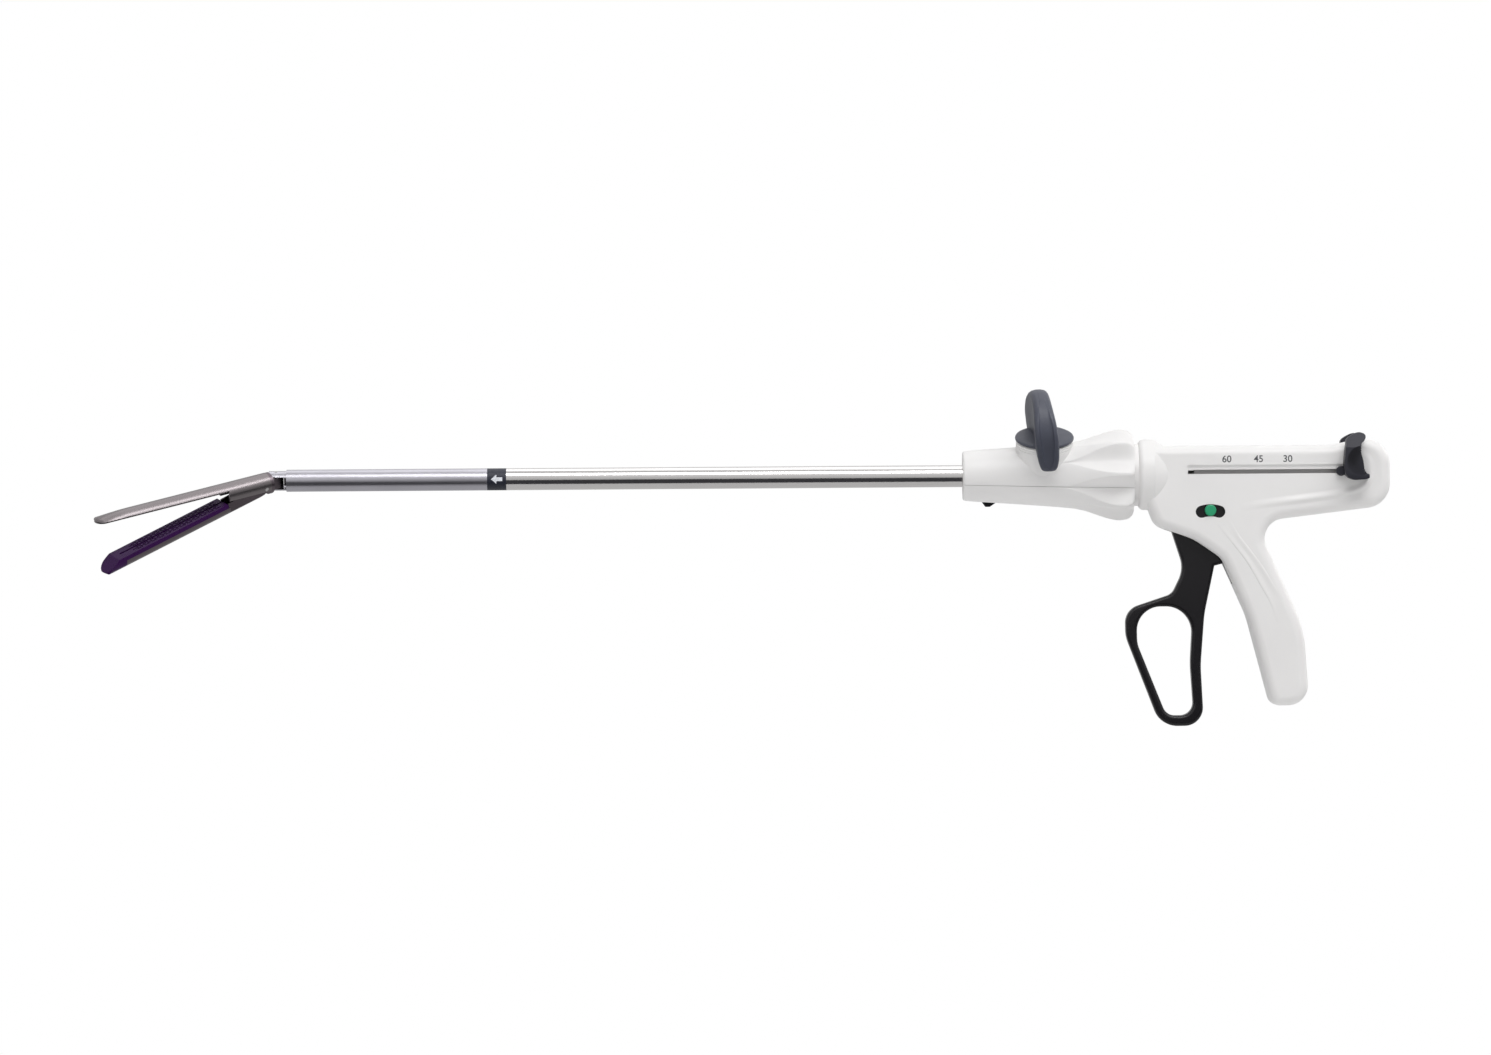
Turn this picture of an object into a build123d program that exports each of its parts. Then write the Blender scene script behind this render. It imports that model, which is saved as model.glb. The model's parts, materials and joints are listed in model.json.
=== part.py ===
from build123d import *
from math import asin, cos, degrees, radians, sin
import os

# Linear surgical stapler with a turning, bending shaft and a detachable jaw unit.
# The shaft axis is X with the jaws toward -X, +Z is up, and the origin is on the shaft axis
# at the front face of the rotation knob. Rest pose: shaft rolled, jaws bent sideways and open.

# Rest pose, degrees
ROLL = 22.0
BEND = 35.0
JAW_OPEN = 13.0
LEVER_TURN = 8.0

# Clearances
RUN_FIT = 0.05
SLIDE_GAP = 0.3
SIDE_GAP = 0.5

# Shaft and jaw unit tube
SHAFT_R = 6.0
TUBE_WALL = 0.6
SHAFT_LEN = 259.0
KNOB_SEAT_STEP = 0.2
BAND_LEN = 10.4
BAND_T = 0.25
RELOAD_LEN = 109.4
SPIGOT_LEN = 12.0
SPIGOT_WALL = 0.4
COLLAR_R = 8.5
COLLAR_LEN = 2.6

# Neck that the jaws bend about
NECK_REACH = 5.6
LUG_R = 4.0
LUG_GAP_Z = 3.4
FORK_LEN = 23.0
FORK_BORE_W = 9.0
FORK_BORE_H = 4.6
NECK_PIN_R = 1.0
NECK_PIN_INNER = 1.2
HEAD_LEN = 2.0
BEAM_SLOT_W = 1.8
BEAM_SLOT_H = 5.0

# Jaws, with lengths measured forward from the bending pivot
TOOL_LEN = 114.0
TOOL_COLLAR_LEN = 26.5
SKIRT_Z = -2.6
SKIRT_T = 1.5
ANVIL_FACE_Z = 2.4
ANVIL_PLATE_T = 1.0
ANVIL_TIP_DROP = 2.1
ANVIL_TAPER_LEN = 20.0
JAW_PIVOT_D = 9.5
JAW_PIVOT_Z = -1.0
JAW_PIN_R = 1.1
EAR_R = 2.6
CARRIER_T = 0.95
CARRIER_INSET = 0.1
CARRIER_RIM_Z = -0.6
CARRIER_ANVIL_GAP = 1.2
CARRIER_END = 101.0
DECK_Z = 1.7
NOSE_TIP_Z = -3.6
NOSE_SLOPE_START = 4.0
CARTRIDGE_REAR_GAP = 1.0
POCKET_LEN = 3.4
POCKET_W = 0.8
POCKET_PITCH = 4.6
POCKET_DEPTH = 2.2
FORM_DEPTH = 0.35
ROW_INNER = 1.4
ROW_PITCH = 1.15

# Knife, drive rod and bending link
KNIFE_T = 1.0
KNIFE_SLOT_W = 1.4
KNIFE_REST_D = 26.0
KNIFE_LEN = 8.0
KNIFE_EDGE_DEPTH = 2.0
KNIFE_FLANGE_W = 4.6
KNIFE_FLANGE_T = 1.0
KNIFE_FOOT_Z = -3.5
KNIFE_TAIL_H = 2.4
FIRING_TRAVEL = 75.0
ROD_R = 2.2
ROD_REACH = 3.0
GUIDE_T = 3.0
GUIDE_SPACING = 140.0
GUIDE_FIRST = 60.0
LINK_Y = 2.6
LINK_T = 1.2
LINK_H = 3.6
YOKE_LEN = 7.0
YOKE_T = 1.0
YOKE_HALF_W = 3.5
YOKE_ROD_GAP = 0.4

# Rotation knob
KNOB_LEN = 93.0
KNOB_NOSE_R = 13.4
KNOB_MID_R = 16.5
KNOB_MID_X = 48.0
KNOB_MAX_R = 24.6
KNOB_MAX_X = 84.0
KNOB_LIP = 1.6
KNOB_NOSE_SLOPE = 0.08
KNOB_WALL = 2.6
HUB_R = 8.5
FLUTE_COUNT = 8
FLUTE_START_X = 50.0
FLUTE_START_R = 1.2
FLUTE_END_R = 6.0
FLUTE_OVERRUN = 4.0
FLUTE_BITE = 3.2
TURRET_R = 15.5
TURRET_TOP = 20.9

# Bending lever on the knob's turret
LEVER_X = 44.4
DISC_R = 16.0
DISC_T = 2.2
FIN_TOP = 48.5
FIN_REACH = 25.5
FIN_TIP_Z = 11.5
FIN_T = 13.0
FIN_FOOT = 0.7
FIN_CROWN = 0.55
CROWN_DROP = 3.0
WING_OVERHANG = 1.5
WING_TIP_R = 2.0
WING_LEAN = 0.1
SHOULDER_INSET = 3.0
DISC_EDGE_R = 1.3
DISC_LAP = 0.4
CRANK_R = 3.5
CRANK_PIN_R = 1.0
CRANK_OFFSET = 2.4
CRANK_SOCKET = 6.0
LEVER_SWING = 45.0

# Release button under the knob's nose
RELEASE_X = 10.0
RELEASE_LEN = 9.5
RELEASE_W = 7.0
RELEASE_TRAVEL = 5.0
RELEASE_PROUD = 3.4

# Handle, with X measured back from its front face and Z from the shaft axis
KNOB_HANDLE_GAP = 2.4
NOSE_R = 19.2
NOSE_LEN = 8.6
NOSE_BLEND = 8.0
NOSE_EDGE_R = 3.0
BEARING_R = 16.9
BEARING_DEPTH = 4.0
HANDLE_HALF_W = 14.5
HANDLE_EDGE_R = 5.5
BARREL_HALF_H = 15.5
REAR_END = 136.6
REAR_TOP = 18.9
GRIP_BOTTOM = -126.0
FRONT_WALL = 14.0

# Rack and return knobs
RACK_HALF_W = 3.0
RACK_HALF_H = 3.7
RACK_REAR = 117.6
RACK_TEETH = 30.6
TOOTH_PITCH = 4.0
TOOTH_DEPTH = 1.6
TOOTH_FLAT = 0.2
TOOTH_FLANK = 3.4
RETURN_X = 109.6
RETURN_Z = 1.3
RETURN_PIN_R = 1.0
RETURN_SLOT_SPARE = 8.0
SLOT_STEP_H = 2.6
SLOT_STEP_DEPTH = 1.0
SLOT_STEP_SPARE = 2.0
RETURN_GAP = 0.5
RETURN_PLATE_T = 2.0
RETURN_REACH = 11.0
RETURN_BOSS_R = 2.7
RETURN_BOSS_PROUD = 1.0
RETURN_ARM_LEN = 6.0
RETURN_ARM_HALF_H = 2.2
RETURN_RIB_T = 1.0
RETURN_RIB_REACH = 7.7
RETURN_CUP_X = 11.3
RETURN_CUP_Z = 4.4
RETURN_CUP_RX = 7.2
RETURN_CUP_RZ = 6.8

# Trigger and pawl, the pawl's pin measured from the trigger's
TRIGGER_X = 34.6
TRIGGER_Z = -27.0
TRIGGER_HALF_W = 5.5
TRIGGER_EDGE_R = 1.8
TRIGGER_PIN_R = 2.0
TRIGGER_PIN_SEAT = 3.5
PAWL_X = 4.0
PAWL_Z = 14.0
PAWL_PIN_R = 1.2
PAWL_BOSS_R = 2.4
PAWL_HALF_W = 2.4
PAWL_TIP_LEAD = 5.5
PAWL_TOOTH_GAP = 0.5
PAWL_SLOT_FRONT = 12.0
PAWL_SLOT_REAR = 6.0
PAWL_SLOT_TOP = 8.0

# Safety slide on the left side, its arc about a centre below the slot
SAFETY_X = 38.7
SAFETY_Z = -34.6
SAFETY_ARC_R = 15.0
SAFETY_SLOT_W = 6.6
SAFETY_SLOT_ANGLE = 37.0
SAFETY_TRAVEL = 26.0
SAFETY_SLIDE_T = 1.8
SAFETY_COVER_T = 2.2
SAFETY_LAP = 1.4
SAFETY_BUTTON_R = 3.1
SAFETY_PROUD = 1.2
SAFETY_EDGE_R = 0.8

# Values that several pieces share
tube_bore_r = SHAFT_R - TUBE_WALL
knob_seat_r = SHAFT_R - KNOB_SEAT_STEP
reload_front_x = -SHAFT_LEN - RELOAD_LEN
pivot_x = reload_front_x - NECK_REACH
fork_r = tube_bore_r - RUN_FIT
handle_front_x = KNOB_LEN + KNOB_HANDLE_GAP
bearing_front = SIDE_GAP - BEARING_DEPTH - KNOB_HANDLE_GAP
collar_front = bearing_front + FRONT_WALL
tube_rear = collar_front + COLLAR_LEN
tube_rear_x = handle_front_x + tube_rear
rack_front = tube_rear + 2 * SIDE_GAP
head_start = LUG_R + SIDE_GAP
head_end = head_start + HEAD_LEN
collar_end = head_end + TOOL_COLLAR_LEN
cover_z = ANVIL_FACE_Z + ANVIL_PLATE_T
skirt_inner = SHAFT_R - SKIRT_T
carrier_rear_half_w = skirt_inner - SLIDE_GAP
carrier_front_d = collar_end + SIDE_GAP
carrier_r = SHAFT_R - CARRIER_INSET
channel_r = carrier_r - CARRIER_T
yoke_z = ROD_R + YOKE_ROD_GAP
knife_end_d = KNIFE_REST_D + FIRING_TRAVEL + SIDE_GAP
return_y = HANDLE_HALF_W + RETURN_GAP
trigger_cavity_half_w = TRIGGER_HALF_W + SIDE_GAP
safety_roof_y = SAFETY_COVER_T - HANDLE_HALF_W

# Placement of what sits in the handle, rolls with the shaft, bends with the neck or opens with the jaw
handle_place = Pos(handle_front_x, 0, 0)
trigger_seat = Pos(TRIGGER_X, 0, TRIGGER_Z)
safety_seat = Pos(SAFETY_X, 0, SAFETY_Z)
return_seat = Pos(RETURN_X, 0, RETURN_Z)
shaft_place = Rot(X=ROLL)
lever_place = shaft_place * Pos(LEVER_X, 0, 0) * Rot(Z=LEVER_TURN)
link_place = shaft_place * Pos(CRANK_OFFSET * sin(radians(LEVER_TURN)), 0, 0)
tool_place = shaft_place * Pos(pivot_x, 0, 0) * Rot(Z=BEND)
jaw_hinge = Pos(-JAW_PIVOT_D, 0, JAW_PIVOT_Z)
jaw_place = tool_place * jaw_hinge * Rot(Y=-JAW_OPEN) * jaw_hinge.inverse()


def rod_x(radius, x0, x1):
    return Pos((x0 + x1) / 2, 0, 0) * Rot(Y=90) * Cylinder(radius, x1 - x0)


def rod_y(radius, x, z, y0, y1):
    return Pos(x, (y0 + y1) / 2, z) * Rot(X=90) * Cylinder(radius, y1 - y0)


def rod_z(radius, x, y, z0, z1):
    return Pos(x, y, (z0 + z1) / 2) * Cylinder(radius, z1 - z0)


def block(x0, x1, y0, y1, z0, z1):
    return Pos((x0 + x1) / 2, (y0 + y1) / 2, (z0 + z1) / 2) * Box(x1 - x0, y1 - y0, z1 - z0)


def side_plate(outline, y0, y1):
    return Pos(0, y1, 0) * extrude(Plane.XZ * outline, amount=y1 - y0)


def polygon(*points):
    return make_face(Polyline(*points, close=True))


def round_outline(corners):
    points = [(x, z) for x, z, radius in corners]
    return make_face(FilletPolyline(*points, radius=[radius for x, z, radius in corners], close=True))


# Shaft

def shaft_tube():
    tube = rod_x(SHAFT_R, -SHAFT_LEN, 0) + rod_x(knob_seat_r, 0, tube_rear_x)
    tube -= rod_x(tube_bore_r, -SHAFT_LEN, tube_rear_x)
    band_rear = BAND_LEN - SHAFT_LEN
    tube -= rod_x(SHAFT_R, -SHAFT_LEN, band_rear) - rod_x(SHAFT_R - BAND_T, -SHAFT_LEN, band_rear)
    window_r = CRANK_OFFSET + CRANK_PIN_R + SIDE_GAP
    return tube - rod_z(window_r, LEVER_X, 0, 0, SHAFT_R)


def load_band():
    band_rear = BAND_LEN - SHAFT_LEN
    inner_r = SHAFT_R - BAND_T + RUN_FIT / 2
    return rod_x(SHAFT_R, -SHAFT_LEN, band_rear) - rod_x(inner_r, -SHAFT_LEN, band_rear)


def shaft_collar():
    front = tube_rear_x - COLLAR_LEN + SLIDE_GAP
    return rod_x(COLLAR_R, front, tube_rear_x) - rod_x(knob_seat_r + RUN_FIT / 2, front, tube_rear_x)


def reload_tube():
    spigot_r = tube_bore_r - RUN_FIT
    spigot_root = -SHAFT_LEN - SPIGOT_LEN
    spigot_rear = SPIGOT_LEN - SHAFT_LEN
    tube = rod_x(SHAFT_R, reload_front_x, -SHAFT_LEN) - rod_x(tube_bore_r, reload_front_x, spigot_root)
    tube += rod_x(spigot_r, -SHAFT_LEN, spigot_rear)
    return tube - rod_x(spigot_r - SPIGOT_WALL, spigot_root, spigot_rear)


def rod_guides():
    guides = Part()
    for index in range(2):
        x = -GUIDE_FIRST - index * GUIDE_SPACING
        guide = rod_x(fork_r, x - GUIDE_T, x) - rod_x(ROD_R + 2 * RUN_FIT, x - GUIDE_T, x)
        half_h = LINK_H / 2 + SLIDE_GAP
        guide -= block(x - GUIDE_T, x, 0, LINK_Y + LINK_T + SLIDE_GAP, -half_h, half_h)
        guides += guide
    return guides


def drive_rod():
    return rod_x(ROD_R, -SHAFT_LEN - ROD_REACH, handle_front_x + rack_front - SLIDE_GAP)


def articulation_link():
    rear = LEVER_X + YOKE_LEN / 2
    front = reload_front_x + 2 * SIDE_GAP + RUN_FIT
    yoke_top = yoke_z + YOKE_T
    bar = block(front, rear, LINK_Y, LINK_Y + LINK_T, -LINK_H / 2, LINK_H / 2)
    bar += block(rear - YOKE_LEN, rear, LINK_Y, YOKE_HALF_W, 0, yoke_top)
    bar += block(rear - YOKE_LEN, rear, -YOKE_HALF_W, YOKE_HALF_W, yoke_z, yoke_top)
    slot_half = CRANK_PIN_R + SLIDE_GAP
    slot_end = slot_half - CRANK_OFFSET * cos(radians(LEVER_SWING))
    return bar - block(LEVER_X - slot_half, LEVER_X + slot_half, -YOKE_HALF_W, slot_end, yoke_z, yoke_top)


# Rotation knob

def knob_profile():
    nose_r = KNOB_NOSE_R
    rear_r = KNOB_MAX_R - KNOB_LIP
    curve = Spline(
        (KNOB_LIP, nose_r),
        (KNOB_MID_X, KNOB_MID_R),
        (KNOB_MAX_X, KNOB_MAX_R),
        (KNOB_LEN, rear_r),
        tangents=[(1, KNOB_NOSE_SLOPE), (1, -1)],
    )
    bulge = KNOB_LIP * (1 - cos(radians(45)))
    front = ThreePointArc((0, nose_r - KNOB_LIP), (bulge, nose_r - bulge), (KNOB_LIP, nose_r))
    base = Polyline((KNOB_LEN, rear_r), (KNOB_LEN, 0), (0, 0), (0, nose_r - KNOB_LIP))
    return make_face(curve + front + base)


def flute():
    length = KNOB_LEN - FLUTE_START_X + FLUTE_OVERRUN
    start_r = KNOB_MID_R + FLUTE_START_R
    end_r = KNOB_MAX_R - FLUTE_BITE + FLUTE_END_R
    tilt = degrees(asin((end_r - start_r) / length))
    on_end = (Align.CENTER, Align.CENTER, Align.MIN)
    cutter = Rot(Y=90) * Cone(FLUTE_START_R, FLUTE_END_R, length, align=on_end)
    return Pos(FLUTE_START_X, 0, start_r) * Rot(Y=-tilt) * cutter


def knob_body():
    body = revolve(knob_profile(), Axis.X)
    step = 360 / FLUTE_COUNT
    for index in range(FLUTE_COUNT):
        body -= Rot(X=90 + index * step) * flute()
    body -= rod_x(BEARING_R + SLIDE_GAP, KNOB_LEN - BEARING_DEPTH, KNOB_LEN)
    return body


def knob_void():
    front = 2 * KNOB_WALL
    rear = KNOB_LEN - BEARING_DEPTH - KNOB_WALL
    neck_r = KNOB_MID_R - KNOB_WALL
    waist_r = KNOB_NOSE_R - KNOB_WALL
    outline = polygon(
        (front, HUB_R),
        (front, waist_r),
        (KNOB_MID_X, neck_r),
        (rear, KNOB_MID_R),
        (rear, HUB_R),
    )
    return revolve(outline, Axis.X)


def knob_upper():
    turret = rod_z(TURRET_R, LEVER_X, 0, HUB_R, TURRET_TOP)
    turret -= rod_x(KNOB_MID_R - KNOB_WALL, 0, KNOB_LEN)
    turret += rod_z(CRANK_R + KNOB_WALL, LEVER_X, 0, HUB_R, TURRET_TOP)
    body = knob_body() - knob_void() + turret
    body -= rod_z(CRANK_R + RUN_FIT, LEVER_X, 0, 0, TURRET_TOP)
    return split(body - shaft_bore(), Plane.XY, Keep.TOP)


def knob_lower():
    slot_rear = RELEASE_X + RELEASE_LEN + RELEASE_TRAVEL + SIDE_GAP
    slot_half_w = RELEASE_W / 2 + SLIDE_GAP
    floor_z = -HUB_R - KNOB_WALL
    body = knob_body() - knob_void()
    body += block(RELEASE_X - KNOB_WALL, slot_rear + KNOB_WALL, -HUB_R / 2, HUB_R / 2, floor_z, -HUB_R)
    slot_top = -HUB_R - SIDE_GAP
    body -= block(RELEASE_X - SLIDE_GAP, slot_rear, -slot_half_w, slot_half_w, -KNOB_MAX_R, slot_top)
    return split(body - shaft_bore(), Plane.XY, Keep.BOTTOM)


def shaft_bore():
    return rod_x(knob_seat_r + RUN_FIT, 0, KNOB_LEN)


def release_button():
    foot_z = -HUB_R - SIDE_GAP
    top_z = -KNOB_NOSE_R - RELEASE_PROUD
    rear = RELEASE_X + RELEASE_LEN
    outline = polygon(
        (RELEASE_X, foot_z),
        (RELEASE_X, top_z + RELEASE_PROUD),
        (RELEASE_X + RELEASE_LEN / 4, top_z),
        (RELEASE_X + RELEASE_LEN / 2, top_z),
        (rear, top_z + RELEASE_PROUD),
        (rear, foot_z),
    )
    return side_plate(outline, -RELEASE_W / 2, RELEASE_W / 2)


# Bending lever, built about its own axis

def lever_front_view(disc_z, disc_top):
    wing_y = DISC_R + WING_OVERHANG
    tip_y = FIN_REACH - 2 * WING_TIP_R
    rim_z = FIN_TIP_Z + WING_TIP_R
    inner_z = FIN_TIP_Z + WING_TIP_R / 2
    shoulder_y = FIN_REACH - SHOULDER_INSET
    shoulder_z = (FIN_TOP + disc_top) / 2
    bridge_z = disc_top - DISC_LAP
    outer = Spline(
        (FIN_REACH, rim_z),
        (shoulder_y, shoulder_z),
        (0, FIN_TOP),
        (-shoulder_y, shoulder_z),
        (-FIN_REACH, rim_z),
        tangents=[(-WING_LEAN, 1), (-WING_LEAN, -1)],
    )
    right_tip = ThreePointArc((FIN_REACH, rim_z), (FIN_REACH - WING_TIP_R, FIN_TIP_Z), (tip_y, inner_z))
    left_tip = ThreePointArc((-FIN_REACH, rim_z), (WING_TIP_R - FIN_REACH, FIN_TIP_Z), (-tip_y, inner_z))
    inner = Polyline(
        (tip_y, inner_z),
        (wing_y, disc_z),
        (wing_y, bridge_z),
        (-wing_y, bridge_z),
        (-wing_y, disc_z),
        (-tip_y, inner_z),
    )
    return make_face(outer + right_tip + inner + left_tip)


def lever_side_view(disc_top):
    half_t = FIN_T / 2
    foot_t = FIN_FOOT * half_t
    crown_t = FIN_CROWN * half_t
    crown_z = FIN_TOP - CROWN_DROP
    leaf = Spline(
        (-foot_t, FIN_TIP_Z),
        (-half_t, disc_top),
        (-crown_t, crown_z),
        (0, FIN_TOP),
        (crown_t, crown_z),
        (half_t, disc_top),
        (foot_t, FIN_TIP_Z),
    )
    return make_face(leaf + Line((foot_t, FIN_TIP_Z), (-foot_t, FIN_TIP_Z)))


def articulation_lever():
    disc_z = TURRET_TOP + SLIDE_GAP
    disc_top = disc_z + DISC_T
    disc = rod_z(DISC_R, 0, 0, disc_z, disc_top)
    disc = fillet(disc.edges().sort_by(Axis.Z)[-1], DISC_EDGE_R)
    fin = extrude(Plane.YZ * lever_front_view(disc_z, disc_top), amount=FIN_T / 2, both=True)
    fin &= side_plate(lever_side_view(disc_top), -FIN_REACH, FIN_REACH)
    return fin + disc - rod_z(CRANK_R, 0, 0, disc_z, disc_z + CRANK_SOCKET)


def lever_crank():
    shoulder = knob_seat_r + 2 * SIDE_GAP
    shaft = rod_z(CRANK_R, 0, 0, shoulder, TURRET_TOP + SLIDE_GAP + CRANK_SOCKET)
    return shaft + rod_z(CRANK_PIN_R, 0, -CRANK_OFFSET, yoke_z, shoulder)


# Neck and jaws, built straight and closed

def neck_fork():
    fork_rear = reload_front_x + FORK_LEN
    core = rod_x(fork_r, reload_front_x, fork_rear)
    half_w = FORK_BORE_W / 2
    half_h = FORK_BORE_H / 2
    core -= block(reload_front_x, fork_rear, -half_w, half_w, -half_h, half_h)
    lug = rod_z(LUG_R, pivot_x, 0, LUG_GAP_Z, SHAFT_R)
    lug += block(pivot_x, reload_front_x, -LUG_R, LUG_R, LUG_GAP_Z, SHAFT_R)
    lug &= rod_x(fork_r, pivot_x - LUG_R, reload_front_x)
    lug -= rod_z(NECK_PIN_R, pivot_x, 0, 0, SHAFT_R)
    return core + lug + mirror(lug, Plane.XY)


def neck_pins():
    pin = rod_z(NECK_PIN_R, pivot_x, 0, NECK_PIN_INNER, fork_r)
    return pin + mirror(pin, Plane.XY)


def mounting_block():
    tongue_h = LUG_GAP_Z - SLIDE_GAP
    tongue = rod_z(LUG_R, 0, 0, -tongue_h, tongue_h)
    tongue += block(-head_start, 0, -LUG_R, LUG_R, -tongue_h, tongue_h)
    body = tongue + rod_x(carrier_r, -head_end, -head_start)
    half_w = BEAM_SLOT_W / 2
    half_h = BEAM_SLOT_H / 2
    body -= block(-head_end, LUG_R, -half_w, half_w, -half_h, half_h)
    return body - rod_z(NECK_PIN_R + RUN_FIT, 0, 0, -SHAFT_R, SHAFT_R)


def pocket_rows(z0, z1):
    first = carrier_front_d + POCKET_PITCH
    count = int((CARRIER_END - first - POCKET_LEN) / POCKET_PITCH)
    pockets = []
    for row in range(3):
        shift = (row % 2) * POCKET_PITCH / 2
        for index in range(count):
            d = first + shift + index * POCKET_PITCH
            for side in (-1, 1):
                y = side * (ROW_INNER + row * ROW_PITCH)
                pockets.append(block(-d - POCKET_LEN, -d, y - POCKET_W / 2, y + POCKET_W / 2, z0, z1))
    return pockets


def jaw_plan(half_w, rear_d):
    front = -TOOL_LEN
    round_x = front + half_w
    return make_face(
        Polyline((round_x, half_w), (-rear_d, half_w), (-rear_d, -half_w), (round_x, -half_w))
        + ThreePointArc((round_x, -half_w), (front, 0), (round_x, half_w))
    )


def anvil_plate():
    half_w = skirt_inner - RUN_FIT
    plate = Pos(0, 0, ANVIL_FACE_Z) * extrude(jaw_plan(half_w, head_end), amount=ANVIL_PLATE_T)
    slot_start = KNIFE_REST_D - KNIFE_LEN - SIDE_GAP
    plate -= block(-knife_end_d, -slot_start, -KNIFE_SLOT_W / 2, KNIFE_SLOT_W / 2, 0, SHAFT_R)
    return plate - pocket_rows(ANVIL_FACE_Z, ANVIL_FACE_Z + FORM_DEPTH)


def anvil_cover():
    dome = rod_x(SHAFT_R, -TOOL_LEN, -collar_end)
    taper_d = TOOL_LEN - ANVIL_TAPER_LEN
    tip_z = SHAFT_R - ANVIL_TIP_DROP
    mid_z = SHAFT_R - ANVIL_TIP_DROP / 4
    corners = Polyline(
        (-TOOL_LEN, tip_z),
        (-TOOL_LEN, cover_z),
        (-collar_end, cover_z),
        (-collar_end, SHAFT_R),
        (-taper_d, SHAFT_R),
    )
    taper = ThreePointArc((-taper_d, SHAFT_R), (-taper_d - ANVIL_TAPER_LEN / 2, mid_z), (-TOOL_LEN, tip_z))
    cover = dome & side_plate(make_face(corners + taper), -SHAFT_R, SHAFT_R)
    cover &= extrude(jaw_plan(SHAFT_R, collar_end), amount=SHAFT_R)
    return cover - flange_channel(knife_end_d, collar_end)


def flange_channel(front_d, rear_d):
    half_w = KNIFE_FLANGE_W / 2 + SLIDE_GAP
    return block(-front_d, -rear_d, -half_w, half_w, cover_z, cover_z + KNIFE_FLANGE_T + SLIDE_GAP)


def anvil_collar():
    collar = rod_x(SHAFT_R, -collar_end, -head_end)
    collar &= block(-collar_end, -head_end, -SHAFT_R, SHAFT_R, SKIRT_Z, SHAFT_R)
    collar -= block(-collar_end, -head_end, -skirt_inner, skirt_inner, SKIRT_Z, cover_z)
    collar -= flange_channel(collar_end, head_end)
    return collar - rod_y(JAW_PIN_R, -JAW_PIVOT_D, JAW_PIVOT_Z, -SHAFT_R, SHAFT_R)


def jaw_pins():
    inner = carrier_rear_half_w - CARRIER_T
    pin = rod_y(JAW_PIN_R, -JAW_PIVOT_D, JAW_PIVOT_Z, inner, carrier_r)
    pin &= rod_x(carrier_r, -JAW_PIVOT_D - JAW_PIN_R, JAW_PIN_R - JAW_PIVOT_D)
    return pin + mirror(pin, Plane.XZ)


def cartridge_carrier():
    inner_rear = carrier_rear_half_w - CARRIER_T
    front = rod_x(carrier_r, -CARRIER_END, -carrier_front_d)
    front &= block(-CARRIER_END, -carrier_front_d, -SHAFT_R, SHAFT_R, -SHAFT_R, CARRIER_RIM_Z)
    ramp_d = JAW_PIVOT_D + 2 * EAR_R
    rear_top = ANVIL_FACE_Z - CARRIER_ANVIL_GAP
    side_view = polygon(
        (-JAW_PIVOT_D, JAW_PIVOT_Z + EAR_R),
        (-carrier_front_d, rear_top),
        (-carrier_front_d, -SHAFT_R),
        (-ramp_d - EAR_R, -SHAFT_R),
        (-JAW_PIVOT_D, JAW_PIVOT_Z - EAR_R),
    )
    rear = side_plate(side_view, -carrier_rear_half_w, carrier_rear_half_w)
    rear += rod_y(EAR_R, -JAW_PIVOT_D, JAW_PIVOT_Z, -carrier_rear_half_w, carrier_rear_half_w)
    rear &= rod_x(carrier_r, -carrier_front_d, 0)
    channel = rod_x(channel_r, -CARRIER_END, 0)
    narrow = block(-carrier_front_d, 0, -inner_rear, inner_rear, -SHAFT_R, SHAFT_R)
    rear -= (channel & narrow) + block(-ramp_d, 0, -inner_rear, inner_rear, -SHAFT_R, SHAFT_R)
    carrier = (front - channel) + rear
    return carrier - rod_y(JAW_PIN_R + RUN_FIT, -JAW_PIVOT_D, JAW_PIVOT_Z, -SHAFT_R, SHAFT_R)


def staple_cartridge():
    rear_d = carrier_front_d + CARTRIDGE_REAR_GAP
    below_rim = block(-TOOL_LEN, -rear_d, -SHAFT_R, SHAFT_R, -SHAFT_R, CARRIER_RIM_Z)
    deck = rod_x(carrier_r, -TOOL_LEN, -rear_d)
    deck &= block(-TOOL_LEN, -rear_d, -SHAFT_R, SHAFT_R, CARRIER_RIM_Z, DECK_Z)
    core = rod_x(channel_r - RUN_FIT, -CARRIER_END, -rear_d) & below_rim
    nose = rod_x(carrier_r, -TOOL_LEN, -CARRIER_END) & below_rim
    slope_d = CARRIER_END + NOSE_SLOPE_START
    nose_side = polygon(
        (-rear_d, SHAFT_R),
        (-rear_d, -SHAFT_R),
        (NOSE_SLOPE_START - TOOL_LEN, -SHAFT_R),
        (-TOOL_LEN, NOSE_TIP_Z),
        (-slope_d, DECK_Z),
        (-slope_d, SHAFT_R),
    )
    body = (deck + core + nose) & side_plate(nose_side, -SHAFT_R, SHAFT_R)
    body &= Pos(0, 0, -SHAFT_R) * extrude(jaw_plan(SHAFT_R, rear_d), amount=2 * SHAFT_R)
    body -= block(-knife_end_d, -rear_d, -KNIFE_SLOT_W / 2, KNIFE_SLOT_W / 2, -SHAFT_R, SHAFT_R)
    return body - pocket_rows(DECK_Z - POCKET_DEPTH, DECK_Z)


def knife_beam():
    front = -KNIFE_REST_D
    rear = front + KNIFE_LEN
    web_top = cover_z + SLIDE_GAP / 2
    web = polygon(
        (front, web_top),
        (rear, web_top),
        (rear, KNIFE_FOOT_Z),
        (front, KNIFE_FOOT_Z),
        (front + KNIFE_EDGE_DEPTH, 0),
    )
    knife = side_plate(web, -KNIFE_T / 2, KNIFE_T / 2)
    knife += block(front, rear, -KNIFE_FLANGE_W / 2, KNIFE_FLANGE_W / 2, web_top, web_top + KNIFE_FLANGE_T)
    tail_end = -NECK_PIN_R - 2 * SIDE_GAP
    return knife + block(rear, tail_end, -KNIFE_T / 2, KNIFE_T / 2, -KNIFE_TAIL_H / 2, KNIFE_TAIL_H / 2)


# Handle

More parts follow.
